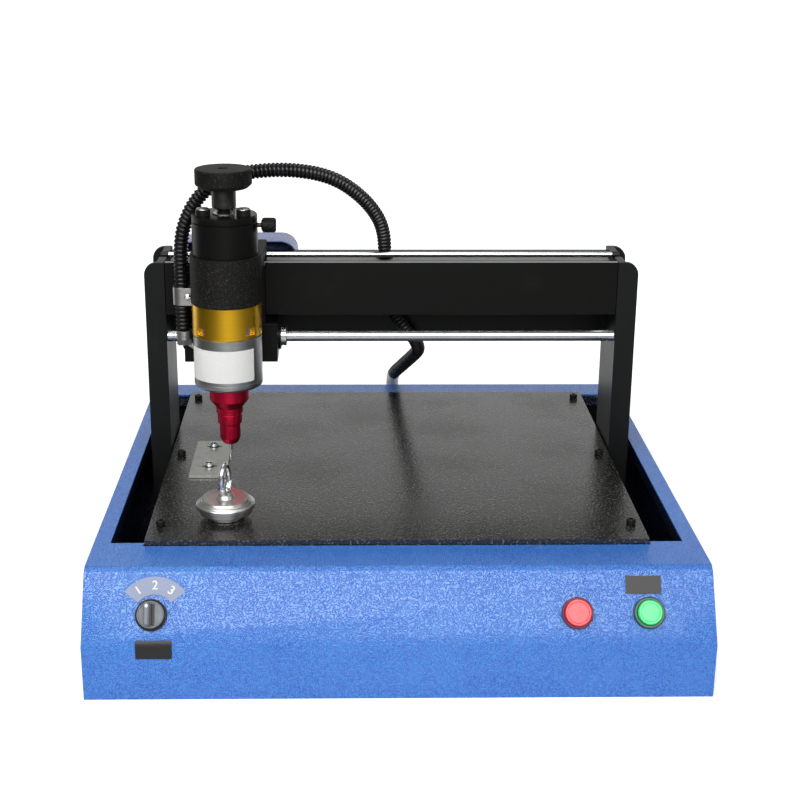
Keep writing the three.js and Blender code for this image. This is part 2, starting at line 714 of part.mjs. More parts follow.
function powerInlet() {
  const side = INLET_WIDTH / 2;
  const tall = INLET_TALL / 2;
  const outer = BASE_DEPTH;
  const flangeFace = outer + SEAT_GAP;
  const body = block(-side, side, outer - INLET_BODY_DEPTH, flangeFace + INLET_FLANGE_THICKNESS, -tall, tall);
  const flange = block(-side - INLET_FLANGE, side + INLET_FLANGE, flangeFace,
    flangeFace + INLET_FLANGE_THICKNESS, -tall - INLET_FLANGE, tall + INLET_FLANGE);
  const well = block(-side + INLET_WALL, side - INLET_WALL, outer - INLET_WELL_DEPTH, outer + OVERRUN,
    -tall + INLET_WALL, tall - INLET_WALL);
  return cut(join(body, flange), well).translate(INLET_X, 0, INLET_HEIGHT);
}

// Uprights: channels open to the outside, with a rounded top corner and a notch for the upper rod
function upright(side) {
  const shape = new THREE.Shape();
  const inner = GANTRY_INSIDE;
  const outer = GANTRY_HALF;
  shape.moveTo(side * inner, UPRIGHT_BOTTOM);
  shape.lineTo(side * outer, UPRIGHT_BOTTOM);
  shape.lineTo(side * outer, UPRIGHT_TOP - UPRIGHT_CORNER);
  shape.absarc(side * (outer - UPRIGHT_CORNER), UPRIGHT_TOP - UPRIGHT_CORNER, UPRIGHT_CORNER,
    side > 0 ? 0 : Math.PI, Math.PI / 2, side < 0);
  shape.lineTo(side * inner, UPRIGHT_TOP);
  shape.closePath();
  const plate = prismAlongY(shape, GANTRY_FRONT, GANTRY_REAR);
  const notchFront = GANTRY_FRONT + NOTCH_FRONT_INSET;
  const notchFloor = UPPER_ROD_HEIGHT - UPPER_ROD_RADIUS - SEAT_GAP;
  const notch = block(-outer - OVERRUN, outer + OVERRUN, notchFront, notchFront + NOTCH_LENGTH,
    notchFloor, UPRIGHT_TOP + OVERRUN);
  const bore = bar("y", GUIDE_ROD_RADIUS + SEAT_GAP, GANTRY_FRONT - OVERRUN, GANTRY_REAR + OVERRUN,
    SMALL_SIDES);
  const web = side * (inner + UPRIGHT_WEB);
  const beyond = side * (outer + OVERRUN);
  const pocket = block(Math.min(web, beyond), Math.max(web, beyond), GANTRY_FRONT + UPRIGHT_FLANGE,
    GANTRY_REAR - UPRIGHT_FLANGE, UPRIGHT_POCKET_BOTTOM, UPRIGHT_TOP + OVERRUN);
  return cut(plate, notch, pocket, bore.translate(side * GUIDE_X, 0, GUIDE_HEIGHT));
}

function frontPlate() {
  const half = GANTRY_INSIDE - SEAT_GAP;
  const front = GANTRY_FRONT + FRONT_PLATE_RECESS;
  return block(-half, half, front, front + FRONT_PLATE, UPRIGHT_TOP - FRONT_PLATE_HEIGHT, UPRIGHT_TOP);
}

// Rear plate with its top shelf, and the eye that holds the hose where it drops through the gantry
function rearPlate() {
  const half = GANTRY_INSIDE - SEAT_GAP;
  const plate = block(-half, half, REAR_PLATE_FRONT, GANTRY_REAR, REAR_PLATE_BOTTOM, REAR_PLATE_TOP);
  const shelf = block(-half, half, REAR_SHELF_FRONT, REAR_PLATE_FRONT + OVERRUN,
    REAR_SHELF_TOP - REAR_SHELF, REAR_SHELF_TOP);
  const eyeBottom = HOSE_SPLIT_HEIGHT - HOSE_EYE_HEIGHT / 2;
  const eyeTop = HOSE_SPLIT_HEIGHT + HOSE_EYE_HEIGHT / 2;
  const eyeRadius = HOSE_RADIUS + SEAT_GAP + HOSE_EYE_WALL;
  const ring = bar("z", eyeRadius, eyeBottom, eyeTop, SMALL_SIDES).translate(HOSE_DROP_X, HOSE_DROP_Y, 0);
  const web = block(HOSE_DROP_X - eyeRadius / 2, HOSE_DROP_X + eyeRadius / 2, HOSE_DROP_Y,
    REAR_PLATE_FRONT + REAR_PLATE / 2, eyeBottom, eyeTop);
  const bore = bar("z", HOSE_RADIUS + SEAT_GAP, eyeBottom - OVERRUN, REAR_SHELF_TOP + OVERRUN, SMALL_SIDES);
  const shaftHoles = [-PULLEY_REACH, PULLEY_REACH].map((x) =>
    bar("y", PULLEY_SHAFT_RADIUS + SEAT_GAP, REAR_PLATE_FRONT - OVERRUN, GANTRY_REAR + OVERRUN,
      SCREW_SIDES).translate(x, 0, PULLEY_HEIGHT));
  return cut(join(plate, shelf, ring, web), bore.translate(HOSE_DROP_X, HOSE_DROP_Y, 0), ...shaftHoles);
}

function upperRod() {
  const half = GANTRY_INSIDE + UPPER_ROD_END;
  const rod = bar("x", UPPER_ROD_RADIUS, -half, half, SMALL_SIDES);
  return rod.translate(0, UPPER_ROD_Y, UPPER_ROD_HEIGHT);
}

function lowerRod() {
  const half = GANTRY_INSIDE - SEAT_GAP;
  const grooved = LOWER_ROD_RADIUS - ROD_GROOVE_DEPTH;
  const grooveOuter = half - ROD_GROOVE_PLACE;
  const grooveInner = grooveOuter - ROD_GROOVE_WIDTH;
  const rod = turned([
    [0, -half], [LOWER_ROD_RADIUS, -half],
    [LOWER_ROD_RADIUS, -grooveOuter], [grooved, -grooveOuter],
    [grooved, -grooveInner], [LOWER_ROD_RADIUS, -grooveInner],
    [LOWER_ROD_RADIUS, grooveInner], [grooved, grooveInner],
    [grooved, grooveOuter], [LOWER_ROD_RADIUS, grooveOuter],
    [LOWER_ROD_RADIUS, half], [0, half],
  ], SMALL_SIDES);
  return rod.rotateY(Math.PI / 2).translate(0, LOWER_ROD_Y, LOWER_ROD_HEIGHT);
}

// The bar under the table that joins the uprights and holds the drive nut
function crossbar() {
  const half = GANTRY_INSIDE - SEAT_GAP;
  const front = GANTRY_FRONT + CROSSBAR_FRONT_INSET;
  const bottom = GUIDE_HEIGHT - CROSSBAR_HEIGHT / 2;
  const body = block(-half, half, front, front + CROSSBAR_DEPTH, bottom, bottom + CROSSBAR_HEIGHT);
  const bore = bar("y", DRIVE_SCREW_RADIUS + SEAT_GAP, front - OVERRUN, front + CROSSBAR_DEPTH + OVERRUN,
    SMALL_SIDES);
  return cut(body, bore.translate(0, 0, GUIDE_HEIGHT));
}

function coverOutline(inset) {
  const left = -COVER_LEFT + inset;
  const right = -COVER_RIGHT - inset;
  const top = COVER_TOP - inset;
  const bottom = COVER_BOTTOM + inset;
  const corner = COVER_CORNER - inset;
  const shape = new THREE.Shape();
  shape.moveTo(left, bottom);
  shape.lineTo(right, bottom);
  shape.lineTo(right, top - corner);
  shape.absarc(right - corner, top - corner, corner, 0, Math.PI / 2, false);
  shape.lineTo(left + corner, top);
  shape.absarc(left + corner, top - corner, corner, Math.PI / 2, Math.PI, false);
  shape.closePath();
  return shape;
}

function motorCover() {
  const front = GANTRY_REAR + SEAT_GAP;
  const rear = front + COVER_DEPTH;
  const outside = prismAlongY(coverOutline(0), front, rear);
  const inside = prismAlongY(coverOutline(COVER_SHEET), front - OVERRUN, rear - COVER_SHEET);
  return cut(outside, inside);
}

function xMotor() {
  const half = MOTOR_SIZE / 2;
  const front = GANTRY_REAR + SEAT_GAP;
  const centre = -PULLEY_REACH;
  const body = block(centre - half, centre + half, front, front + X_MOTOR_LENGTH,
    PULLEY_HEIGHT - half, PULLEY_HEIGHT + half);
  const bore = bar("y", PULLEY_SHAFT_RADIUS + SEAT_GAP, front - OVERRUN, front + X_MOTOR_LENGTH / 2,
    SCREW_SIDES);
  return cut(body, bore.translate(centre, 0, PULLEY_HEIGHT));
}

// A belt pulley with side flanges, turned in one with its shaft, which runs back from the pulley
function pulley(shaftEnd) {
  const flanged = PULLEY_RADIUS + PULLEY_FLANGE;
  const front = BELT_FRONT - SEAT_GAP - PULLEY_FLANGE_WIDTH;
  const rear = BELT_REAR + SEAT_GAP + PULLEY_FLANGE_WIDTH;
  const outline = [
    [0, front], [flanged, front],
    [flanged, front + PULLEY_FLANGE_WIDTH], [PULLEY_RADIUS, front + PULLEY_FLANGE_WIDTH],
    [PULLEY_RADIUS, rear - PULLEY_FLANGE_WIDTH], [flanged, rear - PULLEY_FLANGE_WIDTH],
    [flanged, rear], [PULLEY_SHAFT_RADIUS, rear],
    [PULLEY_SHAFT_RADIUS, shaftEnd], [0, shaftEnd],
  ];
  const points = outline.map(([radius, place]) => new THREE.Vector2(radius, place));
  return new THREE.LatheGeometry(points, SMALL_SIDES);
}

// The belt: one closed band round both pulleys, with its teeth left out
function beltLoop(radius) {
  const shape = new THREE.Shape();
  shape.absarc(PULLEY_REACH, PULLEY_HEIGHT, radius, -Math.PI / 2, Math.PI / 2, false);
  shape.absarc(-PULLEY_REACH, PULLEY_HEIGHT, radius, Math.PI / 2, Math.PI + Math.PI / 2, false);
  shape.closePath();
  return shape;
}

function belt() {
  const inner = PULLEY_RADIUS + SEAT_GAP;
  const band = beltLoop(inner + BELT_THICKNESS);
  band.holes.push(beltLoop(inner));
  const geometry = new THREE.ExtrudeGeometry(band, {
    depth: BELT_WIDTH,
    bevelEnabled: false,
    curveSegments: HOSE_SIDES,
  });
  return geometry.rotateX(Math.PI / 2).translate(0, BELT_REAR, 0);
}

// Carriage: a plate behind the head with the bearing block that rides on the lower rod
function bearingCarriage() {
  const plateHalf = CARRIAGE_PLATE_WIDTH / 2;
  const blockHalf = BEARING_BLOCK_WIDTH / 2;
  const plate = block(-plateHalf, plateHalf, CARRIAGE_FACE, CARRIAGE_BACK, BEARING_BLOCK_BOTTOM,
    CARRIAGE_PLATE_TOP);
  const bearing = block(-blockHalf, blockHalf, CARRIAGE_FACE, LOWER_ROD_Y + BEARING_BLOCK_BACK_REACH,
    BEARING_BLOCK_BOTTOM, BEARING_BLOCK_TOP);
  const collarEnd = blockHalf + BEARING_COLLAR_LENGTH;
  const collar = bar("x", BEARING_COLLAR_RADIUS, -collarEnd, collarEnd);
  collar.translate(0, LOWER_ROD_Y, LOWER_ROD_HEIGHT);
  const bore = bar("x", BUSH_RADIUS + SEAT_GAP, -collarEnd - OVERRUN, collarEnd + OVERRUN);
  bore.translate(0, LOWER_ROD_Y, LOWER_ROD_HEIGHT);
  return cut(join(plate, bearing, collar), bore).translate(HEAD_X, 0, 0);
}

function linearBush() {
  const half = BEARING_BLOCK_WIDTH / 2 + BUSH_STICKOUT;
  const bush = sleeve(BUSH_RADIUS, LOWER_ROD_RADIUS + SEAT_GAP, -half, half);
  return bush.rotateY(Math.PI / 2).translate(HEAD_X, LOWER_ROD_Y, LOWER_ROD_HEIGHT);
}

// Clamp: the collar round the head, with the arm that reaches over the front plate to the upper rod
function headClamp() {
  const bossHalf = CLAMP_BOSS_WIDTH / 2;
  const bossBack = CARRIAGE_FACE - HEAD_Y - SEAT_GAP;
  const armHalf = ARM_WIDTH / 2;
  const rodPlace = UPPER_ROD_Y - HEAD_Y;
  const sliderBack = rodPlace + SLIDER_REACH;
  const tongueHalf = TONGUE_WIDTH / 2;
  const beltRun = PULLEY_HEIGHT + PULLEY_RADIUS + SEAT_GAP;
  const beltFront = BELT_FRONT - HEAD_Y - SEAT_GAP;
  const tongueFront = BELT_FRONT - HEAD_Y - (TONGUE_THICKNESS - BELT_WIDTH) / 2;
  const ring = bar("z", CLAMP_RADIUS, CLAMP_BOTTOM, CLAMP_TOP);
  const boss = block(-bossHalf, bossHalf, 0, bossBack, CLAMP_BOTTOM, ARM_TOP);
  const arm = block(-armHalf, armHalf, 0, sliderBack, ARM_BOTTOM, ARM_TOP);
  const slider = block(-armHalf, armHalf, rodPlace - SLIDER_REACH, sliderBack, SLIDER_BOTTOM, ARM_TOP);
  const tongue = block(-tongueHalf, tongueHalf, tongueFront, tongueFront + TONGUE_THICKNESS,
    beltRun - TONGUE_GRIP, ARM_TOP);
  const beltSlot = block(-armHalf, armHalf, beltFront, beltFront + BELT_WIDTH + SEAT_GAP * 2,
    beltRun - SEAT_GAP, beltRun + BELT_THICKNESS + SEAT_GAP);
  const bore = bar("z", CLAMP_RADIUS - CLAMP_WALL, CLAMP_BOTTOM - OVERRUN, CLAMP_TOP + OVERRUN);
  const rodBore = bar("x", UPPER_ROD_RADIUS + SEAT_GAP, -armHalf - OVERRUN, armHalf + OVERRUN, SMALL_SIDES);
  rodBore.translate(0, rodPlace, UPPER_ROD_HEIGHT);
  return cut(join(ring, boss, arm, slider, tongue), bore, rodBore, beltSlot);
}

function headTube() {
  const tube = sleeve(TUBE_RADIUS, TUBE_RADIUS - TUBE_WALL, TUBE_BOTTOM, TUBE_TOP);
  const hole = bar("x", LOCK_SHAFT_RADIUS + SEAT_GAP, 0, CLAMP_RADIUS, SCREW_SIDES);
  return cut(tube, hole.translate(0, 0, LOCK_SCREW_HEIGHT));
}

// Cap of the tube, with its socket screws seated on it
function headCap() {
  const bottom = TUBE_TOP + SEAT_GAP;
  const plate = bar("z", TUBE_RADIUS, bottom, CAP_TOP);
  const bore = bar("z", SPINDLE_RADIUS + SEAT_GAP, bottom - OVERRUN, CAP_TOP + OVERRUN);
  const heads = [];
  for (let index = 0; index < CAP_SCREW_COUNT; index += 1) {
    const turn = Math.PI / 2 + (index * 2 * Math.PI) / CAP_SCREW_COUNT;
    const head = capScrew(CAP_SCREW_RADIUS, CAP_SCREW_HEIGHT, CAP_SCREW_RADIUS / 2, SOCKET_DEPTH);
    heads.push(head.translate(CAP_SCREW_CIRCLE * Math.cos(turn), CAP_SCREW_CIRCLE * Math.sin(turn), CAP_TOP));
  }
  return join(cut(plate, bore), ...heads);
}

// Ring nut that joins the head's body to the guide sleeve sliding in the tube
function headRing() {
  const clampFace = CLAMP_BOTTOM - SEAT_GAP;
  const sleeveBore = GUIDE_RADIUS - GUIDE_WALL;
  const spindleBore = SPINDLE_RADIUS + SEAT_GAP;
  const body = turned([
    [sleeveBore, GUIDE_SLEEVE_BOTTOM], [GUIDE_RADIUS, GUIDE_SLEEVE_BOTTOM],
    [GUIDE_RADIUS, RING_BOTTOM], [RING_RADIUS, RING_BOTTOM],
    [RING_RADIUS, clampFace], [GUIDE_RADIUS, clampFace],
    [GUIDE_RADIUS, GUIDE_SLEEVE_TOP], [spindleBore, GUIDE_SLEEVE_TOP],
    [spindleBore, GUIDE_SLEEVE_TOP - GUIDE_SLEEVE_ROOF], [sleeveBore, GUIDE_SLEEVE_TOP - GUIDE_SLEEVE_ROOF],
    [sleeveBore, GUIDE_SLEEVE_BOTTOM],
  ]);
  const notches = [];
  for (let index = 0; index < RING_NOTCH_COUNT; index += 1) {
    const notch = block(-RING_NOTCH_WIDTH / 2, RING_NOTCH_WIDTH / 2, RING_RADIUS - RING_NOTCH_DEPTH,
      RING_RADIUS + OVERRUN, RING_BOTTOM - OVERRUN, RING_BOTTOM + RING_NOTCH_HEIGHT);
    const turn = THREE.MathUtils.degToRad(RING_NOTCH_TURN) + (index * 2 * Math.PI) / RING_NOTCH_COUNT;
    notches.push(notch.rotateZ(Math.PI - turn));
  }
  return cut(body, ...notches);
}

function headBody() {
  const bore = GUIDE_RADIUS + SEAT_GAP;
  const floor = BODY_BOTTOM + BODY_FLOOR;
  const top = RING_BOTTOM - SEAT_GAP;
  const needle = NEEDLE_RADIUS + SEAT_GAP;
  return turned([
    [needle, BODY_BOTTOM],
    [BODY_RADIUS - BODY_EDGE, BODY_BOTTOM],
    [BODY_RADIUS - BODY_EDGE / 3, BODY_BOTTOM + BODY_EDGE / 3],
    [BODY_RADIUS, BODY_BOTTOM + BODY_EDGE],
    [BODY_RADIUS, top],
    [bore, top],
    [bore, floor],
    [needle, floor],
    [needle, BODY_BOTTOM],
  ]);
}

// A thin curved plate: part of a ring between two turns, measured in degrees from +X
function ringPart(inner, outer, from, to, steps, depth) {
  const start = THREE.MathUtils.degToRad(from);
  const end = THREE.MathUtils.degToRad(to);
  const shape = new THREE.Shape();
  for (let index = 0; index <= steps; index += 1) {
    const turn = start + ((end - start) * index) / steps;
    shape[index === 0 ? "moveTo" : "lineTo"](outer * Math.cos(turn), outer * Math.sin(turn));
  }
  for (let index = steps; index >= 0; index -= 1) {
    const turn = start + ((end - start) * index) / steps;
    shape.lineTo(inner * Math.cos(turn), inner * Math.sin(turn));
  }
  shape.closePath();
  return new THREE.ExtrudeGeometry(shape, { depth, bevelEnabled: false });
}

function headLabel() {
  const front = -90;
  const inner = BODY_RADIUS + SEAT_GAP;
  const label = ringPart(inner, inner + LABEL_THICKNESS, front - LABEL_TURN_LEFT, front + LABEL_TURN_RIGHT,
    LABEL_STEPS, LABEL_TOP - LABEL_BOTTOM);
  return label.translate(0, 0, LABEL_BOTTOM);
}

function coil() {
  const bottom = BODY_BOTTOM + BODY_FLOOR + SEAT_GAP;
  return sleeve(GUIDE_RADIUS, GUIDE_RADIUS - COIL_WALL, bottom, bottom + COIL_HEIGHT, SMALL_SIDES);
}

// Plunger, needle and marking point in one
function stylus() {
  const plungerBottom = BODY_BOTTOM + BODY_FLOOR + PLUNGER_LIFT;
  const plungerRadius = GUIDE_RADIUS - COIL_WALL - SEAT_GAP;
  return turned([
    [0, TIP_HEIGHT], [POINT_RADIUS, TIP_HEIGHT + POINT_CONE],
    [POINT_RADIUS, POINT_TOP], [NEEDLE_RADIUS, POINT_TOP + POINT_CONE],
    [NEEDLE_RADIUS, plungerBottom], [plungerRadius, plungerBottom],
    [plungerRadius, plungerBottom + PLUNGER_HEIGHT], [0, plungerBottom + PLUNGER_HEIGHT],
  ], SMALL_SIDES);
}

function nose() {
  const bore = NEEDLE_RADIUS + SEAT_GAP;
  const top = BODY_BOTTOM - SEAT_GAP;
  return turned([
    [bore, NOSE_HEIGHTS.tip], [NOSE_RADII.tip, NOSE_HEIGHTS.tip],
    [NOSE_RADII.neck, NOSE_HEIGHTS.neck], [NOSE_RADII.neck, NOSE_HEIGHTS.second],
    [NOSE_RADII.step, NOSE_HEIGHTS.second], [NOSE_RADII.step, NOSE_HEIGHTS.step],
    [NOSE_RADII.shoulder, NOSE_HEIGHTS.step], [NOSE_RADII.shoulder, NOSE_HEIGHTS.shoulder],
    [NOSE_RADII.flange, NOSE_HEIGHTS.flange], [NOSE_RADII.flange, top],
    [bore, top], [bore, NOSE_HEIGHTS.tip],
  ]);
}

// Knob, stem and threaded spindle in one
function heightKnob() {
  return turned([
    [0, SPINDLE_BOTTOM], [SPINDLE_RADIUS, SPINDLE_BOTTOM],
    [SPINDLE_RADIUS, STEM_BOTTOM], [STEM_RADIUS, STEM_BOTTOM],
    [STEM_RADIUS, KNOB_BOTTOM], [KNOB_RADIUS - KNOB_EDGE, KNOB_BOTTOM],
    [KNOB_RADIUS, KNOB_BOTTOM + KNOB_EDGE], [KNOB_RADIUS, KNOB_TOP - KNOB_EDGE / 4],
    [KNOB_RADIUS - KNOB_EDGE / 4, KNOB_TOP], [0, KNOB_TOP],
  ]);
}

function lockScrew() {
  const start = TUBE_RADIUS - LOCK_SHAFT_INSIDE;
  const headStart = TUBE_RADIUS + LOCK_SHAFT_LENGTH;
  const shaft = bar("x", LOCK_SHAFT_RADIUS, start, headStart + OVERRUN, SCREW_SIDES);
  const head = bar("x", LOCK_HEAD_RADIUS, headStart, headStart + LOCK_HEAD_LENGTH, SMALL_SIDES);
  return join(shaft, head).translate(0, 0, LOCK_SCREW_HEIGHT);
}

// Strap that clips the hose to the head's clamp, with its screw
function hoseStrap() {
  const outer = HOSE_RADIUS + SEAT_GAP + STRAP_WALL;
  const top = STRAP_BOTTOM + STRAP_HEIGHT;
  const ring = bar("z", outer, STRAP_BOTTOM, top).translate(HOSE_LEFT_X, HOSE_LEFT_Y, 0);
  const earFront = HOSE_LEFT_Y - outer;
  const reach = CLAMP_RADIUS + SEAT_GAP;
  const earEnd = HEAD_X - Math.sqrt(reach ** 2 - (HEAD_Y - earFront) ** 2);
  const ear = block(HOSE_LEFT_X, earEnd, earFront, earFront + STRAP_WALL, STRAP_BOTTOM, top);
  const screw = bar("y", STRAP_SCREW_RADIUS, earFront - STRAP_SCREW_HEIGHT, earFront + STRAP_WALL / 2,
    SCREW_SIDES);
  screw.translate(earEnd - STRAP_SCREW_RADIUS - STRAP_WALL, 0, STRAP_BOTTOM + STRAP_HEIGHT / 2);
  const bore = bar("z", HOSE_RADIUS + SEAT_GAP, STRAP_BOTTOM - OVERRUN, top + OVERRUN);
  return cut(join(ring, ear, screw), bore.translate(HOSE_LEFT_X, HOSE_LEFT_Y, 0));
}

// Ferrule at the hose's end, slanting back and down to the bearing block
function hoseFerrule() {
  const top = HOSE_LEFT_BOTTOM - SEAT_GAP;
  const blockFace = CARRIAGE_FACE - SEAT_GAP;
  const start = new THREE.Vector3(HOSE_LEFT_X, HOSE_LEFT_Y, top - HOSE_RADIUS);
  const end = new THREE.Vector3(HEAD_X - BEARING_BLOCK_WIDTH / 2 + HOSE_RADIUS * 2,
    blockFace + HOSE_RADIUS, top - HOSE_RADIUS * 2);
  const spine = new THREE.LineCurve3(start, end);
  const socket = bar("z", HOSE_RADIUS, start.z - HOSE_RADIUS / 2, top, SMALL_SIDES);
  socket.translate(start.x, start.y, 0);
  const slant = bar("y", HOSE_GROOVE_RADIUS, 0, spine.getLength(), SMALL_SIDES);
  const along = new THREE.Vector3(0, 1, 0);
  const turn = new THREE.Quaternion().setFromUnitVectors(along, spine.getTangent(0));
  slant.applyQuaternion(turn).translate(start.x, start.y, start.z);
  const past = new THREE.Vector3(OVERRUN, OVERRUN, OVERRUN).addScalar(HOSE_RADIUS * 2);
  const wall = block(end.x - past.x, end.x + past.x, blockFace, blockFace + past.y,
    end.z - past.z, end.z + past.z);
  return cut(join(socket, slant), wall);
}

// A hollow tube along a smooth route. radiusAt gives the outside at each ring, and the bore has
// a ring at every boreStep of them.
function hollowTube(route, rings, radiusAt, boreRadius, boreStep) {
  const curve = new THREE.CatmullRomCurve3(route.map((point) => new THREE.Vector3(...point)));
  curve.curveType = "centripetal";
  const frames = curve.computeFrenetFrames(rings, false);
  const positions = [];
  const faces = [];
  function addRing(index, radius) {
    const centre = curve.getPointAt(index / rings);
    const first = positions.length / 3;
    for (let side = 0; side < HOSE_SIDES; side += 1) {
      const turn = (2 * Math.PI * side) / HOSE_SIDES;
      const point = centre.clone()
        .addScaledVector(frames.normals[index], radius * Math.cos(turn))
        .addScaledVector(frames.binormals[index], radius * Math.sin(turn));
      positions.push(point.x, point.y, point.z);
    }
    return first;
  }
  function joinRings(lower, upper) {
    for (let side = 0; side < HOSE_SIDES; side += 1) {
      const next = (side + 1) % HOSE_SIDES;
      faces.push(lower + side, lower + next, upper + next, lower + side, upper + next, upper + side);
    }
  }
  const outside = [];
  for (let index = 0; index <= rings; index += 1) {
    outside.push(addRing(index, radiusAt(index)));
  }
  const bore = [];
  for (let index = 0; index < rings; index += boreStep) {
    bore.push(addRing(index, boreRadius));
  }
  bore.push(addRing(rings, boreRadius));
  for (let index = 0; index < rings; index += 1) {
    joinRings(outside[index], outside[index + 1]);
  }
  for (let index = 0; index < bore.length - 1; index += 1) {
    joinRings(bore[index + 1], bore[index]);
  }
  joinRings(bore[0], outside[0]);
  joinRings(outside[rings], bore[bore.length - 1]);
  const geometry = new THREE.BufferGeometry();
  geometry.setAttribute("position", new THREE.Float32BufferAttribute(positions, 3));
  geometry.setIndex(faces);
  geometry.computeVertexNormals();
  return geometry;
}

function ribbedHose(route) {
  const curve = new THREE.CatmullRomCurve3(route.map((point) => new THREE.Vector3(...point)));
  curve.curveType = "centripetal";
  const ribs = Math.round(curve.getLength() / HOSE_RIB_PITCH);
  const radiusAt = (index) => (index % 2 === 0 ? HOSE_GROOVE_RADIUS : HOSE_RADIUS);
  return hollowTube(route, ribs * 2, radiusAt, HOSE_BORE_RADIUS, HOSE_RIBS_PER_BORE_RING * 2);
}

function hoseElbow() {
  return hollowTube(ELBOW_ROUTE, ELBOW_STEPS, () => ELBOW_RADIUS, ELBOW_BORE, 1);
}

// Body of a panel device: a flange on the panel and a barrel through it
function pushBezel(lensRadius) {
  const lensBore = lensRadius + SEAT_GAP;
  const stemBore = PUSH_STEM_RADIUS + SEAT_GAP;
  const floor = SEAT_GAP + BEZEL_FLOOR;
  const top = SEAT_GAP + PUSH_BEZEL_HEIGHT;
  return turned([
    [stemBore, -BEZEL_DEPTH], [BEZEL_BARREL_RADIUS, -BEZEL_DEPTH],
    [BEZEL_BARREL_RADIUS, SEAT_GAP], [BEZEL_RADIUS, SEAT_GAP],
    [BEZEL_RADIUS, top], [lensBore, top],
    [lensBore, floor], [stemBore, floor], [stemBore, -BEZEL_DEPTH],
  ]);
}

function pushButton(lensRadius) {
  const bottom = SEAT_GAP + BEZEL_FLOOR + PUSH_TRAVEL + SEAT_GAP;
  const top = bottom + PUSH_LENS_HEIGHT;
  const edge = PUSH_LENS_HEIGHT / 4;
  return turned([
    [0, -PUSH_STEM_DEPTH], [PUSH_STEM_RADIUS, -PUSH_STEM_DEPTH],
    [PUSH_STEM_RADIUS, bottom], [lensRadius, bottom],
    [lensRadius, top - edge], [lensRadius - edge, top], [0, top],
  ]);
}

function selectorBezel() {
  const bore = PUSH_STEM_RADIUS + SEAT_GAP;
  const top = SEAT_GAP + SELECTOR_BEZEL_HEIGHT;
  return turned([
    [bore, -BEZEL_DEPTH], [BEZEL_BARREL_RADIUS, -BEZEL_DEPTH],
    [BEZEL_BARREL_RADIUS, SEAT_GAP], [BEZEL_RADIUS, SEAT_GAP],
    [BEZEL_RADIUS, top], [bore, top], [bore, -BEZEL_DEPTH],
  ]);
}

function selectorKnob() {
  const bottom = SEAT_GAP + SELECTOR_BEZEL_HEIGHT + SEAT_GAP;
  const discTop = bottom + SELECTOR_DISC_HEIGHT;
  const half = SELECTOR_GRIP_WIDTH / 2;
  const reach = Math.sqrt(SELECTOR_DISC_RADIUS ** 2 - half ** 2);
  const disc = turned([
    [0, -PUSH_STEM_DEPTH], [PUSH_STEM_RADIUS, -PUSH_STEM_DEPTH],
    [PUSH_STEM_RADIUS, bottom], [SELECTOR_DISC_RADIUS, bottom],
    [SELECTOR_DISC_RADIUS, discTop], [0, discTop],
  ]);
  const grip = block(-half, half, -reach, reach, bottom, discTop + SELECTOR_GRIP_HEIGHT);
  return join(disc, grip);
}

function selectorScale() {
  const up = 90;
  const scale = ringPart(SCALE_INNER, SCALE_OUTER, up - SCALE_TURN, up + SCALE_TURN, SCALE_STEPS,
    PLATE_THICKNESS);
  return scale.translate(SCALE_X, CONTROL_RISE, SEAT_GAP);
}

// Label bent over the lower bend, under the selector
function bentLabel() {
  const outer = SEAT_GAP + PLATE_THICKNESS;
  const [innerBend] = bendsAt(-SEAT_GAP);
  const [outerBend] = bendsAt(-outer);
  const lean = [Math.sin(PANEL_LEAN), Math.cos(PANEL_LEAN)];
  const topInner = [innerBend[0] + BENT_LABEL_UP * lean[0], innerBend[1] + BENT_LABEL_UP * lean[1]];
  const topOuter = [outerBend[0] + BENT_LABEL_UP * lean[0], outerBend[1] + BENT_LABEL_UP * lean[1]];
  const bottom = FRONT_HEIGHT - BENT_LABEL_DOWN;
  const outline = [
    [-SEAT_GAP, bottom], innerBend, topInner, topOuter, outerBend, [-outer, bottom],
  ].reverse();
  const half = BENT_LABEL_WIDTH / 2;
  return prismAlongX(outline, SCALE_X - half, SCALE_X + half);
}

function greenLabel() {
  const half = GREEN_LABEL_WIDTH / 2;
  const tall = GREEN_LABEL_HEIGHT / 2;
  return block(GREEN_LABEL_X - half, GREEN_LABEL_X + half, GREEN_LABEL_RISE - tall, GREEN_LABEL_RISE + tall,
    SEAT_GAP, SEAT_GAP + PLATE_THICKNESS);
}

// Stop plate with two slots across it, so that it can be set sideways
function stopPlate() {
  const bottom = TABLE_TOP + SEAT_GAP;
  const plate = block(-STOP_LEFT, -STOP_LEFT + STOP_WIDTH, STOP_FRONT, STOP_FRONT + STOP_LENGTH,
    bottom, bottom + STOP_THICKNESS);
  const width = STOP_SHANK_RADIUS + SEAT_GAP;
  const straight = STOP_SLOT_LENGTH / 2 - width;
  const slots = stopScrewPlaces().map(([x, y]) => {
    const shape = new THREE.Shape();
    shape.absarc(straight, 0, width, -Math.PI / 2, Math.PI / 2, false);
    shape.absarc(-straight, 0, width, Math.PI / 2, Math.PI + Math.PI / 2, false);
    shape.closePath();
    const slot = new THREE.ExtrudeGeometry(shape, {
      depth: STOP_THICKNESS + OVERRUN * 2,
      bevelEnabled: false,
      curveSegments: CORNER_STEPS,
    });
    return slot.translate(x, y, bottom - OVERRUN);
  });
  return cut(plate, ...slots);
}

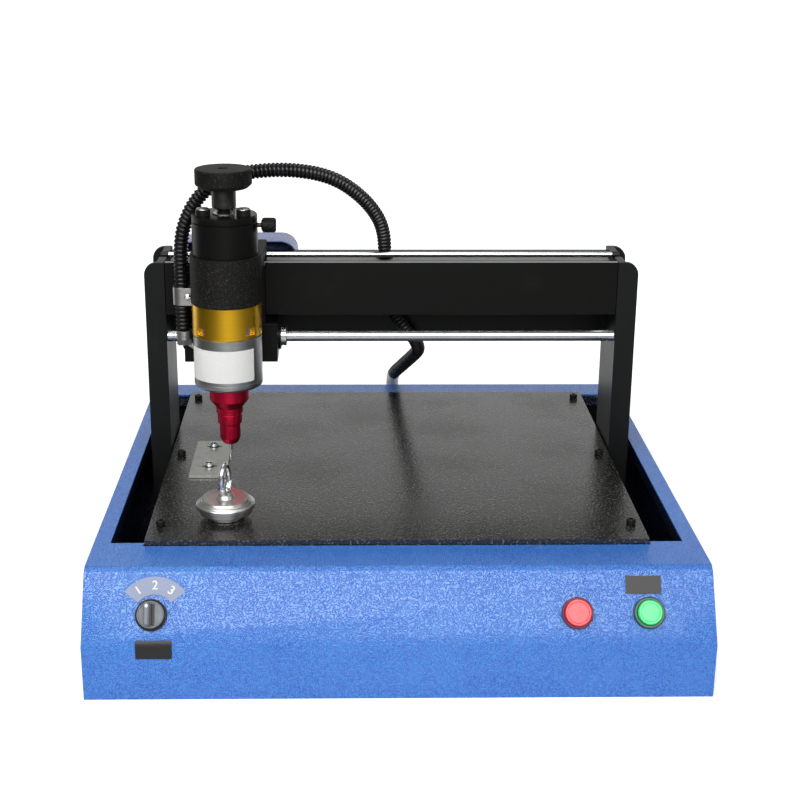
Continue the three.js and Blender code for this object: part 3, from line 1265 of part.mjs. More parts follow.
// Holding magnet: a pot magnet with a flange and an eye to pull it off by
function magnet() {
  const pot = turned([
    [0, SEAT_GAP], [MAGNET_FOOT_RADIUS, SEAT_GAP],
    [MAGNET_FOOT_RADIUS, MAGNET_FOOT_HEIGHT], [MAGNET_FLANGE_RADIUS, MAGNET_FOOT_HEIGHT],
    [MAGNET_FLANGE_RADIUS, MAGNET_FLANGE_TOP], [MAGNET_PLATEAU_RADIUS, MAGNET_FLANGE_TOP],
    [MAGNET_PLATEAU_RADIUS, MAGNET_PLATEAU_TOP], [MAGNET_COLLAR_RADIUS, MAGNET_PLATEAU_TOP],
    [MAGNET_COLLAR_RADIUS, MAGNET_COLLAR_TOP], [0, MAGNET_COLLAR_TOP],
  ]);
  const eye = new THREE.TorusGeometry(MAGNET_EYE_RADIUS, MAGNET_WIRE_RADIUS, HOSE_SIDES, EYE_STEPS);
  eye.rotateX(Math.PI / 2).rotateZ(THREE.MathUtils.degToRad(MAGNET_EYE_TURN));
  eye.translate(0, 0, MAGNET_COLLAR_TOP + MAGNET_EYE_RADIUS + MAGNET_WIRE_RADIUS - MAGNET_EYE_SINK);
  return join(pot, eye);
}

function buildBase() {
  const base = new THREE.Group();
  base.add(piece("base_shell", baseShell(), PAINT.blue, 0.55, 0.1));
  base.add(piece("base_floor", baseFloor(), PAINT.graphite, 0.6, 0.3));
  base.add(piece("table_frame", tableFrame(), PAINT.graphite, 0.6, 0.4));
  base.add(piece("table_plate", tablePlate(), PAINT.speckle, 0.3, 0.2));
  tableScrewPlaces().forEach(([x, y], index) => {
    const screw = capScrew(SCREW_HEAD_RADIUS, SCREW_HEAD_HEIGHT, SCREW_SHANK_RADIUS, SCREW_GRIP);
    const mesh = piece(`table_screw_${index + 1}`, screw, PAINT.rough, 0.5, 0.7);
    mesh.position.set(x, y, TABLE_TOP + SEAT_GAP);
    base.add(mesh);
  });
  [-GUIDE_X, GUIDE_X].forEach((x, index) => {
    const rod = bar("y", GUIDE_ROD_RADIUS, CROSS_FRONT, CROSS_REAR, SMALL_SIDES);
    const mesh = piece(["y_rod_left", "y_rod_right"][index], rod, METAL.steel, 0.15, 1);
    mesh.position.set(x, 0, GUIDE_HEIGHT);
    base.add(mesh);
  });
  base.add(piece("y_motor", yMotor(), PAINT.black, 0.5, 0.5));
  base.add(piece("y_screw", driveScrew(), METAL.steel, 0.25, 1));
  base.add(piece("control_unit", controlUnit(), BOARD.green, 0.6, 0.1));
  base.add(piece("power_inlet", powerInlet(), BOARD.rubber, 0.6, 0));
  base.add(piece("hose_elbow", hoseElbow(), METAL.zinc, 0.3, 0.8));
  base.add(piece("selector_label", bentLabel(), BOARD.label, 0.5, 0));
  base.add(piece("stop_plate", stopPlate(), METAL.zinc, 0.45, 0.8));
  stopScrewPlaces().forEach(([x, y], index) => {
    const grip = STOP_THICKNESS + TABLE_THICKNESS;
    const screw = capScrew(STOP_HEAD_RADIUS, STOP_HEAD_HEIGHT, STOP_SHANK_RADIUS, grip);
    const mesh = piece(`stop_screw_${index + 1}`, screw, METAL.steel, 0.35, 0.9);
    mesh.position.set(x, y, TABLE_TOP + SEAT_GAP + STOP_THICKNESS + SEAT_GAP);
    base.add(mesh);
  });
  const loose = piece("magnet", magnet(), METAL.nickel, 0.12, 1);
  loose.position.set(MAGNET_X, MAGNET_Y, TABLE_TOP);
  base.add(loose);
  return base;
}

function buildControls() {
  const panel = panelGroup();
  const controls = [
    [piece("selector_bezel", selectorBezel(), PLASTIC.grey, 0.4, 0.3), SELECTOR_X],
    [piece("selector_knob", selectorKnob(), PLASTIC.grey, 0.45, 0.1), SELECTOR_X],
    [piece("red_bezel", pushBezel(RED_LENS_RADIUS), PLASTIC.maroon, 0.4, 0), RED_X],
    [piece("red_button", pushButton(RED_LENS_RADIUS), PLASTIC.red, 0.3, 0), RED_X],
    [piece("green_bezel", pushBezel(GREEN_LENS_RADIUS), PLASTIC.dark, 0.4, 0), GREEN_X],
    [piece("green_button", pushButton(GREEN_LENS_RADIUS), PLASTIC.green, 0.3, 0), GREEN_X],
  ];
  controls.forEach(([mesh, x]) => {
    mesh.position.set(x, CONTROL_RISE, 0);
    panel.add(mesh);
  });
  panel.add(piece("selector_scale", selectorScale(), BOARD.film, 0.6, 0));
  panel.add(piece("green_label", greenLabel(), BOARD.label, 0.5, 0));
  return panel;
}

function buildGantry() {
  const gantry = new THREE.Group();
  gantry.add(piece("upright_left", upright(-1), PAINT.black, 0.45, 0.4));
  gantry.add(piece("upright_right", upright(1), PAINT.black, 0.45, 0.4));
  gantry.add(piece("front_plate", frontPlate(), PAINT.black, 0.45, 0.4));
  gantry.add(piece("rear_plate", rearPlate(), PAINT.black, 0.45, 0.4));
  gantry.add(piece("upper_rod", upperRod(), METAL.steel, 0.15, 1));
  gantry.add(piece("lower_rod", lowerRod(), METAL.steel, 0.1, 1));
  gantry.add(piece("crossbar", crossbar(), PAINT.graphite, 0.5, 0.6));
  gantry.add(piece("motor_cover", motorCover(), PAINT.blue, 0.55, 0.1));
  gantry.add(piece("x_motor", xMotor(), PAINT.black, 0.5, 0.5));
  gantry.add(piece("x_belt", belt(), BOARD.rubber, 0.8, 0));
  const motorShaftEnd = GANTRY_REAR + X_MOTOR_LENGTH / 2 - SEAT_GAP;
  const drive = piece("drive_pulley", pulley(motorShaftEnd), METAL.steel, 0.3, 0.9);
  drive.position.set(-PULLEY_REACH, 0, PULLEY_HEIGHT);
  gantry.add(drive);
  const idler = piece("idler_pulley", pulley(GANTRY_REAR), METAL.steel, 0.3, 0.9);
  idler.position.set(PULLEY_REACH, 0, PULLEY_HEIGHT);
  gantry.add(idler);
  gantry.add(piece("hose_lower", ribbedHose(LOWER_HOSE_ROUTE), BOARD.rubber, 0.35, 0));
  gantry.add(piece("hose_upper", ribbedHose(UPPER_HOSE_ROUTE), BOARD.rubber, 0.35, 0));
  return gantry;
}

function buildCarriage() {
  const carriage = new THREE.Group();
  carriage.add(piece("carriage_block", bearingCarriage(), PAINT.black, 0.5, 0.4));
  carriage.add(piece("linear_bush", linearBush(), METAL.steel, 0.2, 1));
  carriage.add(piece("hose_strap", hoseStrap(), METAL.nickel, 0.3, 0.8));
  carriage.add(piece("hose_ferrule", hoseFerrule(), METAL.nickel, 0.25, 0.9));
  const head = new THREE.Group();
  head.position.set(HEAD_X, HEAD_Y, 0);
  head.add(piece("head_clamp", headClamp(), PAINT.rough, 0.7, 0.2));
  head.add(piece("head_tube", headTube(), PAINT.black, 0.35, 0.5));
  head.add(piece("head_cap", headCap(), PAINT.black, 0.4, 0.5));
  head.add(piece("lock_screw", lockScrew(), PAINT.rough, 0.5, 0.4));
  head.add(piece("head_ring", headRing(), METAL.gold, 0.3, 0.9));
  head.add(piece("head_body", headBody(), METAL.brushed, 0.4, 0.8));
  head.add(piece("head_label", headLabel(), PLASTIC.white, 0.5, 0));
  head.add(piece("head_coil", coil(), METAL.gold, 0.5, 0.5));
  head.add(piece("head_nose", nose(), METAL.red, 0.3, 0.9));
  head.add(piece("stylus", stylus(), METAL.steel, 0.2, 1));
  head.add(piece("height_knob", heightKnob(), PAINT.black, 0.4, 0.5));
  carriage.add(head);
  return carriage;
}

const group = new THREE.Group();
group.position.y = -CENTRE_Y;
group.add(buildBase(), buildControls(), buildGantry(), buildCarriage());

export default group;
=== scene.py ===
"""Nameplate marking machine: its looks, its camera and its light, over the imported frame.

The machine is a bent sheet-metal base with a bolted work table, a gantry that travels front to back in
the two slots beside the table, and a carriage with the marking head that travels along the gantry.

Sizes in the classes are millimetres from the middle of the base's front bottom edge, X to the right, Y to
the back and Z up, as on a drawing. spot() turns such a place into the frame's metres.
"""

import logging
import math
from collections.abc import Callable, Sequence
from dataclasses import dataclass
from enum import Enum

import bpy
from mathutils import Euler, Matrix, Vector


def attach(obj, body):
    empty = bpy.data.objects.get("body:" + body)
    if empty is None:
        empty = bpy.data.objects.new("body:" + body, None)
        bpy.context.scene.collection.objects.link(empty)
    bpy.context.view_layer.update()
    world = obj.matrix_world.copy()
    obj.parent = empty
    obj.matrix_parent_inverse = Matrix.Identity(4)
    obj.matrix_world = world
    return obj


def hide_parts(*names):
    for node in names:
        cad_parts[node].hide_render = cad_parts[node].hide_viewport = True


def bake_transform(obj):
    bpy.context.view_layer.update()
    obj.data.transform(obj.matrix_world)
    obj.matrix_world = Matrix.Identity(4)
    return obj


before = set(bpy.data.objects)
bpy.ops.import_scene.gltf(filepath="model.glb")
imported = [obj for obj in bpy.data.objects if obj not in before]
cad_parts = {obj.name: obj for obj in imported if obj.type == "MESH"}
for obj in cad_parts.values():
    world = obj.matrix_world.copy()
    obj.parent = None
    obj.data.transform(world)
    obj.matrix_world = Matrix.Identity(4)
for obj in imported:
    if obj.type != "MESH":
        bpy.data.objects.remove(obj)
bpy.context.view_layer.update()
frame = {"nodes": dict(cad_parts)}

LOG = logging.getLogger("marking_machine")
MM = 0.001
BASE_MIDDLE = 280.0
PANEL_FOOT = 51.0
PANEL_RUN, PANEL_RISE = 37.0, 59.5
PANEL_LEAN = math.degrees(math.atan2(PANEL_RUN, PANEL_RISE))
HEAD_AXIS = (-166.0, 265.0)
LOWER_ROD = (326.2, 241.0)
LOCK_HEIGHT = 371.5

Pair = tuple[float, float]
Triple = tuple[float, float, float]
Colour = Triple
Outline = Sequence[Pair]
Route = Sequence[Triple]
Sockets = dict[str, "Wire | float | Colour"]
Piece = bpy.types.Object


def spot(x: float, y: float, z: float) -> Vector:
    """A place on the drawing, in millimetres, as a point of the frame in metres."""
    return Vector((x, y - BASE_MIDDLE, z)) * MM


def tint(red: int, green: int, blue: int) -> Colour:
    """A screen colour as the linear colour that a shader takes.

    Args:
        red: Its red, from 0 to 255.
        green: Its green.
        blue: Its blue.

    Returns:
        The linear colour.
    """

    def linear(value: int) -> float:
        """One channel of the colour."""
        share = value / 255
        return share / 12.92 if share <= 0.04045 else ((share + 0.055) / 1.055) ** 2.4

    return (linear(red), linear(green), linear(blue))


class Slot(str, Enum):
    """The material slots of the record."""

    BLUE = "blue_paint"
    GRAPHITE = "graphite_paint"
    SPECKLE = "speckle_paint"
    BLACK = "black_anodised"
    ROUGH = "rough_black"
    OXIDE = "black_oxide"
    STEEL = "steel"
    NICKEL = "nickel"
    ZINC = "zinc"
    SILVER = "silver_aluminium"
    GOLD = "gold_anodised"
    RED = "red_anodised"
    COPPER = "copper_winding"
    GREY_PLASTIC = "grey_plastic"
    DARK_PLASTIC = "dark_plastic"
    RED_LENS = "red_lens"
    MAROON = "maroon_plastic"
    GREEN_LENS = "green_lens"
    DARK_GREEN = "dark_green_plastic"
    WHITE_FILM = "white_film"
    GREY_FILM = "grey_film"
    BLACK_FILM = "black_film"
    CASE = "circuit_case"
    HOSE = "hose_rubber"
    BELT = "belt_rubber"


class Body(str, Enum):
    """The moving bodies that the pieces ride on."""

    BASE = "base"
    GANTRY = "gantry"
    CARRIAGE = "carriage"
    HEAD = "head"
    STYLUS = "stylus"
    KNOB = "height_knob"
    LOCK = "lock_screw"
    MAGNET = "magnet"
    STOP = "stop_plate"
    SELECTOR = "selector"
    RED = "red_button"
    GREEN = "green_button"


class Wire:
    """One output of a shader node. Arithmetic on it adds Math nodes."""

    def __init__(self, graph: "Graph", socket: bpy.types.NodeSocket) -> None:
        """Wraps an output socket of a node in a graph."""
        self.graph = graph
        self.socket = socket

    def maths(self, operation: str, *terms: "Wire | float") -> "Wire":
        """Adds one Math node, whose sockets take the terms in their order."""
        return self.graph.node("ShaderNodeMath", {"operation": operation}, dict(enumerate(terms)))

    def __add__(self, other: "Wire | float") -> "Wire":
        """The sum."""
        return self.maths("ADD", self, other)

    __radd__ = __add__

    def __sub__(self, other: "Wire | float") -> "Wire":
        """The difference."""
        return self.maths("SUBTRACT", self, other)

    def __rsub__(self, other: float) -> "Wire":
        """The difference from a number."""
        return self.maths("SUBTRACT", other, self)

    def __mul__(self, other: "Wire | float") -> "Wire":
        """The product."""
        return self.maths("MULTIPLY", self, other)

    __rmul__ = __mul__

    def __truediv__(self, other: "Wire | float") -> "Wire":
        """The quotient."""
        return self.maths("DIVIDE", self, other)

    def __pow__(self, other: float) -> "Wire":
        """The power."""
        return self.maths("POWER", self, other)

    def larger(self, other: "Wire | float") -> "Wire":
        """The larger of two values at each point."""
        return self.maths("MAXIMUM", self, other)

    def smaller(self, other: "Wire | float") -> "Wire":
        """The smaller of two values at each point."""
        return self.maths("MINIMUM", self, other)

    def size(self) -> "Wire":
        """The value without its sign."""
        return self.maths("ABSOLUTE", self)

    def above(self, low: float, high: float) -> "Wire":
        """A soft step: 0 below low, 1 above high."""
        values = {"Value": self, "From Min": low, "From Max": high}
        return self.graph.node("ShaderNodeMapRange", {"interpolation_type": "SMOOTHSTEP"}, values)


class Graph:
    """The node tree of a material or of the world. Materials are built on Object coordinates."""

    def __init__(self, owner: bpy.types.Material | bpy.types.World) -> None:
        """Empties the node tree of a material or world.

        Args:
            owner: The material or world.
        """
        self.owner = owner
        owner.use_nodes = True
        self.tree = owner.node_tree
        self.tree.nodes.clear()

    @classmethod
    def material(cls, name: str) -> "Graph":
        """Starts a new material's graph."""
        return cls(bpy.data.materials.new(name))

    def node(
        self, kind: str, settings: dict | None = None, values: dict | None = None, output: str | int = 0
    ) -> Wire:
        """Adds one node, sets it up, and fills its sockets.

        Args:
            kind: Blender's name of the node type.
            settings: Values set on the node itself, before its sockets.
            values: What goes into each socket, by its identifier, name or number.
            output: The identifier, name or number of the output wanted.

        Returns:
            That output.
        """
        made = self.tree.nodes.new(kind)
        for name, value in (settings or {}).items():
            setattr(made, name, value)
        for name, value in (values or {}).items():
            socket = self.socket(made.inputs, name)
            if isinstance(value, Wire):
                self.tree.links.new(value.socket, socket)
            elif isinstance(value, tuple) and socket.type == "RGBA" and len(value) == 3:
                socket.default_value = (*value, 1.0)
            else:
                socket.default_value = value
        return Wire(self, self.socket(made.outputs, output)) if made.outputs else None

    @staticmethod
    def socket(sockets: bpy.types.bpy_prop_collection, name: str | int) -> bpy.types.NodeSocket:
        """Finds a socket.

        Args:
            sockets: A node's inputs or outputs.
            name: Its identifier, name or number.

        Returns:
            The socket.
        """
        if isinstance(name, int):
            return sockets[name]
        for socket in sockets:
            if socket.identifier == name:
                return socket
        return sockets[name]

    def place(self, scale: Triple | None = None) -> Wire:
        """The point on the piece, in metres.

        Args:
            scale: How much each axis is stretched, if it is.

        Returns:
            The point.
        """
        point = self.node("ShaderNodeTexCoord", output="Object")
        if scale is None:
            return point
        return self.node("ShaderNodeMapping", values={"Vector": point, "Scale": scale})

    def axes(self, vector: Wire | None = None) -> tuple[Wire, Wire, Wire]:
        """X, Y and Z of a vector, or of the point on the piece."""
        values = {"Vector": vector or self.place()}
        return tuple(self.node("ShaderNodeSeparateXYZ", values=values, output=axis) for axis in "XYZ")

    def noise(
        self, size: float, detail: float = 2.0, vector: Wire | None = None, roughness: float = 0.5
    ) -> Wire:
        """Even cloudy noise from 0 to 1.

        Args:
            size: Size of its cells, in millimetres.
            detail: How many finer layers it has.
            vector: The point to read it at, or the piece's own.
            roughness: How strong the finer layers are.

        Returns:
            The noise.
        """
        return self.node("ShaderNodeTexNoise", values={
            "Vector": vector or self.place(), "Scale": 1 / (size * MM),
            "Detail": detail, "Roughness": roughness,
        })

    def cells(self, size: float, feature: str = "F1", smooth: float = 0.5) -> Wire:
        """Distances in a pattern of cells.

        Args:
            size: Size of a cell, in millimetres.
            feature: Blender's name of what is measured.
            smooth: How soft the smooth kind is.

        Returns:
            The distance.
        """
        values: dict = {"Vector": self.place(), "Scale": 1 / (size * MM)}
        if feature == "SMOOTH_F1":
            values["Smoothness"] = smooth
        return self.node("ShaderNodeTexVoronoi", {"feature": feature}, values, "Distance")

    def mix(self, share: Wire | float, first: Wire | Colour, second: Wire | Colour) -> Wire:
        """Blends two colours: the first at 0, the second at 1."""
        values = {"Factor_Float": share, "A_Color": first, "B_Color": second}
        return self.node("ShaderNodeMix", {"data_type": "RGBA"}, values, "Result_Color")

    def bump(self, height: Wire, depth: float, strength: float = 1.0) -> Wire:
        """Turns a height of 0 to 1 into a normal. The depth in millimetres is what 1 stands for."""
        values = {"Height": height, "Distance": depth * MM, "Strength": strength}
        return self.node("ShaderNodeBump", values=values)

    def ray(self, kind: str) -> Wire:
        """1 where a ray of one kind, such as Camera or Glossy, looks, and 0 for other rays."""
        return self.node("ShaderNodeLightPath", output=f"Is {kind} Ray")

    def shade(self, **values: Wire | float | Colour) -> bpy.types.Material:
        """Ends the graph in a Principled surface.

        Args:
            values: What goes into its sockets, with _ for the spaces of their names.

        Returns:
            The finished material.
        """
        sockets = {name.replace("_", " "): value for name, value in values.items()}
        surface = self.node("ShaderNodeBsdfPrincipled", values=sockets)
        self.node("ShaderNodeOutputMaterial", values={"Surface": surface})
        return self.owner


@dataclass(frozen=True)
class Finish:
    """What every finish has: the slot that it stands for, its colour and its roughness."""

    slot: Slot
    colour: Colour
    roughness: float

    def make(self) -> bpy.types.Material:
        """Builds the material of this finish."""
        graph = Graph.material(self.slot.value)
        return graph.shade(**self.sockets(graph))

    def sockets(self, graph: Graph) -> Sockets:
        """What goes into the surface's sockets, with _ for the spaces of their names."""
        raise NotImplementedError


@dataclass(frozen=True)
class WrinklePaint(Finish):
    """Powder coat with a leathery grain, as on sheet-metal cabinets, with its ridge tops painted paler as
    highlight, painted light on the motor's cover, and painted shade inside the cabinet.
    """

    grain: float = 1.35
    depth: float = 0.36
    pale: Colour = (0.2, 0.35, 0.8)
    painted_inner_shade: Colour = (0.003, 0.006, 0.025)
    half_width: float = 280.0
    skin_top: float = 109.5
    painted_light: Colour = (0.16, 0.2, 0.42)
    painted_light_height: float = 200.0

    def sockets(self, graph: Graph) -> Sockets:
        """Builds the coat: folds, lumps, a faint unevenness, ridge tops painted paler as highlight, painted
        light on the motor's cover, and painted shade inside.

        Args:
            graph: Its material's graph.

        Returns:
            The surface's sockets.
        """
        maze = (graph.noise(self.grain * 1.9, 1.0) - 0.5).size().above(0.0, 0.085)
        lumps = graph.noise(self.grain * 0.9, 1.5).above(0.3, 0.7)
        relief = maze * 0.6 + lumps * 0.4
        drift = graph.noise(70.0, 2.0)
        # The grain's ridge tops are painted paler as a painted highlight; the slow drift adds a faint random
        # tone.
        wear_and_highlight = relief.above(0.35, 0.9) * 0.6 + drift.above(0.35, 0.75) * 0.1
        coat = graph.mix(wear_and_highlight, self.colour, self.pale)
        _, _, up = graph.axes()
        # Above this height, on the motor's cover, the coat is painted paler: painted light.
        painted_light = self.painted_light_height * MM
        coat = graph.mix(up.above(painted_light, painted_light + 0.01) * 0.85, coat, self.painted_light)
        return dict(
            # Inside the cabinet the coat is painted near black: painted shade.
            Base_Color=graph.mix(self.inside(graph), coat, self.painted_inner_shade),
            Roughness=drift * 0.1 - relief * 0.06 + (self.roughness - 0.02),
            Normal=graph.bump(relief, self.depth),
            Specular_IOR_Level=0.95,
        )

    def inside(self, graph: Graph) -> Wire:
        """1 under the cabinet's skin, where the shade is painted, and 0 on its outside.

        Args:
            graph: The finish's graph.

        Returns:
            The mask.
        """
        across, back, up = graph.axes()
        lean = math.radians(PANEL_LEAN)
        half = self.half_width * MM
        least = (back + half) * math.cos(lean) - (up - PANEL_FOOT * MM) * math.sin(lean)
        for depth in (half - across.size(), half - back.size(), self.skin_top * MM - up):
            least = least.smaller(depth)
        return least.above(0.0008, 0.0012)


@dataclass(frozen=True)
class HammeredPaint(Finish):
    """Dark hammer paint of a work table: a pebbled surface that sparkles at a low angle."""

    grain: float = 3.0
    depth: float = 0.11
    painted_glint: Colour = (0.16, 0.155, 0.14)

    def sockets(self, graph: Graph) -> Sockets:
        """Builds the pebbled coat with pale specks painted in as glints, and a few worn patches in its
        roughness.

        Args:
            graph: Its material's graph.

        Returns:
            The surface's sockets.
        """
        pebbles = graph.cells(self.grain, "SMOOTH_F1", smooth=0.3).above(0.1, 0.6)
        crumbs = graph.noise(self.grain * 0.7, 1.0)
        wear_and_highlight = graph.noise(90.0, 3.0)
        # Pale specks where the crumbs peak are painted glints of the pebbles.
        colour = graph.mix(crumbs.above(0.61, 0.67), self.colour, self.painted_glint)
        return dict(
            Base_Color=colour,
            Roughness=wear_and_highlight.above(0.35, 0.7) * 0.08 + pebbles * 0.06 + (self.roughness - 0.03),
            Specular_IOR_Level=1.0,
            Normal=graph.bump(pebbles * 0.5 + crumbs * 0.5, self.depth),
        )


@dataclass(frozen=True)
class Mottled(Finish):
    """A surface whose colour and gloss drift in soft patches, over a fine tooth.

    A second colour of None stands for the first one, a quarter darker.
    """

    second: Colour | None = None
    patch_size: float = 45.0
    patch_detail: float = 4.0
    patch_roughness: float = 0.6
    patch_edge: Pair = (0.52, 0.8)
    patch_share: float = 0.5
    swing: float = 0.16
    tooth: float = 0.35
    depth: float = 0.01
    metallic: float = 0.0
    gloss: float = 0.5
    coat: float = 0.0

    def sockets(self, graph: Graph) -> Sockets:
        """Builds the patches and the tooth.

        Args:
            graph: Its material's graph.

        Returns:
            The surface's sockets.
        """
        second = self.second or tuple(channel * 0.72 for channel in self.colour)
        patches = graph.noise(self.patch_size, self.patch_detail, roughness=self.patch_roughness)
        return dict(
            Base_Color=graph.mix(patches.above(*self.patch_edge) * self.patch_share, self.colour, second),
            Roughness=patches * self.swing + (self.roughness - self.swing / 2),
            Metallic=self.metallic,
            Specular_IOR_Level=self.gloss,
            Coat_Weight=self.coat,
            Normal=graph.bump(graph.noise(self.tooth, 2.0), self.depth),
        )


@dataclass(frozen=True)
class SatinPaint(Mottled):
    """Smooth satin paint or coated steel, with faint handling marks."""


@dataclass(frozen=True)
class MouldedPlastic(Mottled):
    """Moulded plastic with a fine spark-eroded texture."""

    patch_size: float = 9.0
    patch_detail: float = 3.0
    patch_roughness: float = 0.5
    patch_edge: Pair = (0.35, 0.75)
    swing: float = 0.14
    tooth: float = 0.4


@dataclass(frozen=True)
class LabelFilm(Mottled):
    """Printed film: nearly flat, with a soft paper-like mottle."""

    patch_size: float = 1.2
    patch_detail: float = 3.0
    patch_roughness: float = 0.5
    patch_edge: Pair = (0.4, 0.75)
    patch_share: float = 0.35
    swing: float = 0.12
    tooth: float = 16.0
    depth: float = 0.05


@dataclass(frozen=True)
class Rubber(Mottled):
    """Hose or belt rubber: smooth dark skin with a few dusty places."""

    patch_size: float = 11.0
    patch_roughness: float = 0.65
    patch_edge: Pair = (0.45, 0.8)
    patch_share: float = 1.0
    swing: float = 0.24
    tooth: float = 0.5
    depth: float = 0.012


@dataclass(frozen=True)
class MachinedMetal(Finish):
    """Turned, ground or brushed metal: fine tool lines across one axis, faint clouds, a little grime."""

    lines: Triple = (0.04, 0.04, 1.0)
    line_size: float = 0.8
    depth: float = 0.004
    dull: Colour = (0.3, 0.3, 0.3)

    def sockets(self, graph: Graph) -> Sockets:
        """Builds the machined surface. Its lines crowd along the axis that isn't squeezed.

        Args:
            graph: Its material's graph.

        Returns:
            The surface's sockets.
        """
        streaks = graph.noise(self.line_size, 3.0, graph.place(self.lines), 0.6)
        clouds = graph.noise(17.0, 3.0)
        dull = streaks.above(0.42, 0.7) * 0.45 + clouds.above(0.5, 0.8) * 0.35
        return dict(
            Base_Color=graph.mix(dull, self.colour, self.dull),
            Roughness=streaks * 0.1 + clouds * 0.06 + (self.roughness - 0.08),
            Metallic=1.0,
            Normal=graph.bump(streaks, self.depth),
        )


@dataclass(frozen=True)
class CrustedCoat(Finish):
    """Coarse matt coat, as on the clamp and the knob: grainy, with pale specks where it is worn."""

    grain: float = 1.5
    depth: float = 0.2
    wear_and_highlight: Colour = (0.09, 0.085, 0.075)

    def sockets(self, graph: Graph) -> Sockets:
        """Builds the grainy coat.

        Args:
            graph: Its material's graph.

        Returns:
            The surface's sockets.
        """
        grains = graph.noise(self.grain, 3.0, roughness=0.7)
        pits = graph.cells(self.grain * 1.6)
        colour = graph.mix(grains.above(0.54, 0.7), self.colour, self.wear_and_highlight)
        return dict(
            Base_Color=colour,
            Roughness=grains * 0.2 + (self.roughness - 0.1),
            Specular_IOR_Level=0.25,
            Normal=graph.bump(grains * 0.7 + pits * 0.3, self.depth),
        )


@dataclass(frozen=True)
class LampLens(Finish):
    """Clear coloured lens of a push button, with the prisms moulded under its face."""

    glow: float = 0.2
    deep: Colour = (0.1, 0.1, 0.1)

    def sockets(self, graph: Graph) -> Sockets:
        """Builds the lens, a little light of its own standing for what it carries inside.

        Args:
            graph: Its material's graph.

        Returns:
            The surface's sockets.
        """
        prisms = graph.cells(1.7)
        shade = prisms.above(0.15, 0.75)
        colour = graph.mix(shade * 0.45, self.colour, self.deep)
        return dict(
            Base_Color=colour,
            Emission_Color=colour,
            Emission_Strength=self.glow,
            Roughness=shade * 0.12 + self.roughness,
            Coat_Weight=0.6,
            Coat_Roughness=0.08,
            Normal=graph.bump(prisms, 0.05, strength=0.5),
        )


@dataclass(frozen=True)
class CopperWinding(Finish):
    """Enamelled wire wound in level turns."""

    pitch: float = 0.9

    def sockets(self, graph: Graph) -> Sockets:
        """Builds the winding, each turn a rounded ridge, with the grooves between turns painted darker as
        painted shade.

        Args:
            graph: Its material's graph.

        Returns:
            The surface's sockets.
        """
        _, _, height = graph.axes()
        turn = height * (math.pi / (self.pitch * MM))
        ridges = turn.maths("SINE", turn).size()
        tone = graph.noise(5.0, 2.0)
        # The grooves between the turns are painted darker: painted shade.
        darker = tuple(channel * 0.35 for channel in self.colour)
        return dict(
            Base_Color=graph.mix(1 - ridges * (tone * 0.4 + 0.7), self.colour, darker),
            Roughness=tone * 0.2 + self.roughness,
            Metallic=0.9,
            Normal=graph.bump(ridges, 0.3),
        )


ROUND = (0.04, 0.04, 1.0)
ALONG = (1.0, 0.04, 0.04)

FINISHES: tuple[Finish, ...] = (
    WrinklePaint(Slot.BLUE, tint(18, 88, 190), 0.26, pale=tint(74, 150, 224)),
    SatinPaint(Slot.GRAPHITE, tint(22, 23, 23), 0.4, gloss=0.2, second=tint(36, 36, 36)),
    HammeredPaint(Slot.SPECKLE, tint(8, 9, 9), 0.22, painted_glint=tint(102, 99, 88)),
    SatinPaint(Slot.BLACK, tint(15, 15, 14), 0.34, gloss=0.15, second=tint(27, 26, 25)),
    CrustedCoat(Slot.ROUGH, tint(9, 9, 8), 0.6, wear_and_highlight=tint(64, 61, 56)),
    SatinPaint(Slot.OXIDE, tint(34, 33, 32), 0.34, metallic=0.5, second=tint(90, 88, 84)),
    MachinedMetal(Slot.STEEL, tint(228, 230, 232), 0.24, ALONG, dull=tint(196, 199, 202)),
    MachinedMetal(Slot.NICKEL, tint(206, 205, 201), 0.34, ROUND, 1.0, 0.004, tint(164, 163, 159)),
    MachinedMetal(Slot.ZINC, tint(222, 224, 216), 0.5, (0.15, 1.0, 0.15), 1.2, 0.008, tint(172, 175, 170)),
    MachinedMetal(Slot.SILVER, tint(188, 190, 188), 0.32, ROUND, 0.9, 0.004, tint(150, 152, 151)),
    MachinedMetal(Slot.GOLD, tint(250, 196, 50), 0.3, ROUND, 0.9, 0.001, tint(234, 178, 40)),
    MachinedMetal(Slot.RED, tint(224, 36, 72), 0.38, ROUND, 0.7, 0.001, tint(206, 26, 60)),
    CopperWinding(Slot.COPPER, tint(196, 108, 52), 0.3),
    MouldedPlastic(Slot.GREY_PLASTIC, tint(112, 118, 124), 0.4),
    MouldedPlastic(Slot.DARK_PLASTIC, tint(30, 31, 33), 0.45),
    LampLens(Slot.RED_LENS, tint(228, 42, 52), 0.22, 0.1, tint(196, 28, 40)),
    MouldedPlastic(Slot.MAROON, tint(108, 18, 36), 0.3, coat=0.3),
    LampLens(Slot.GREEN_LENS, tint(44, 220, 124), 0.22, 0.12, tint(20, 176, 90)),
    MouldedPlastic(Slot.DARK_GREEN, tint(8, 76, 48), 0.3, coat=0.3),
    LabelFilm(Slot.WHITE_FILM, tint(226, 226, 222), 0.4, tint(206, 206, 204)),
    LabelFilm(Slot.GREY_FILM, tint(142, 152, 178), 0.5, tint(122, 130, 158)),
    LabelFilm(Slot.BLACK_FILM, tint(26, 26, 28), 0.38, tint(44, 44, 46)),
    SatinPaint(Slot.CASE, tint(150, 152, 150), 0.45, second=tint(120, 122, 120)),
    Rubber(Slot.HOSE, tint(12, 12, 14), 0.28, tint(24, 24, 27)),
    Rubber(Slot.BELT, tint(22, 22, 22), 0.6, tint(48, 46, 44)),
)


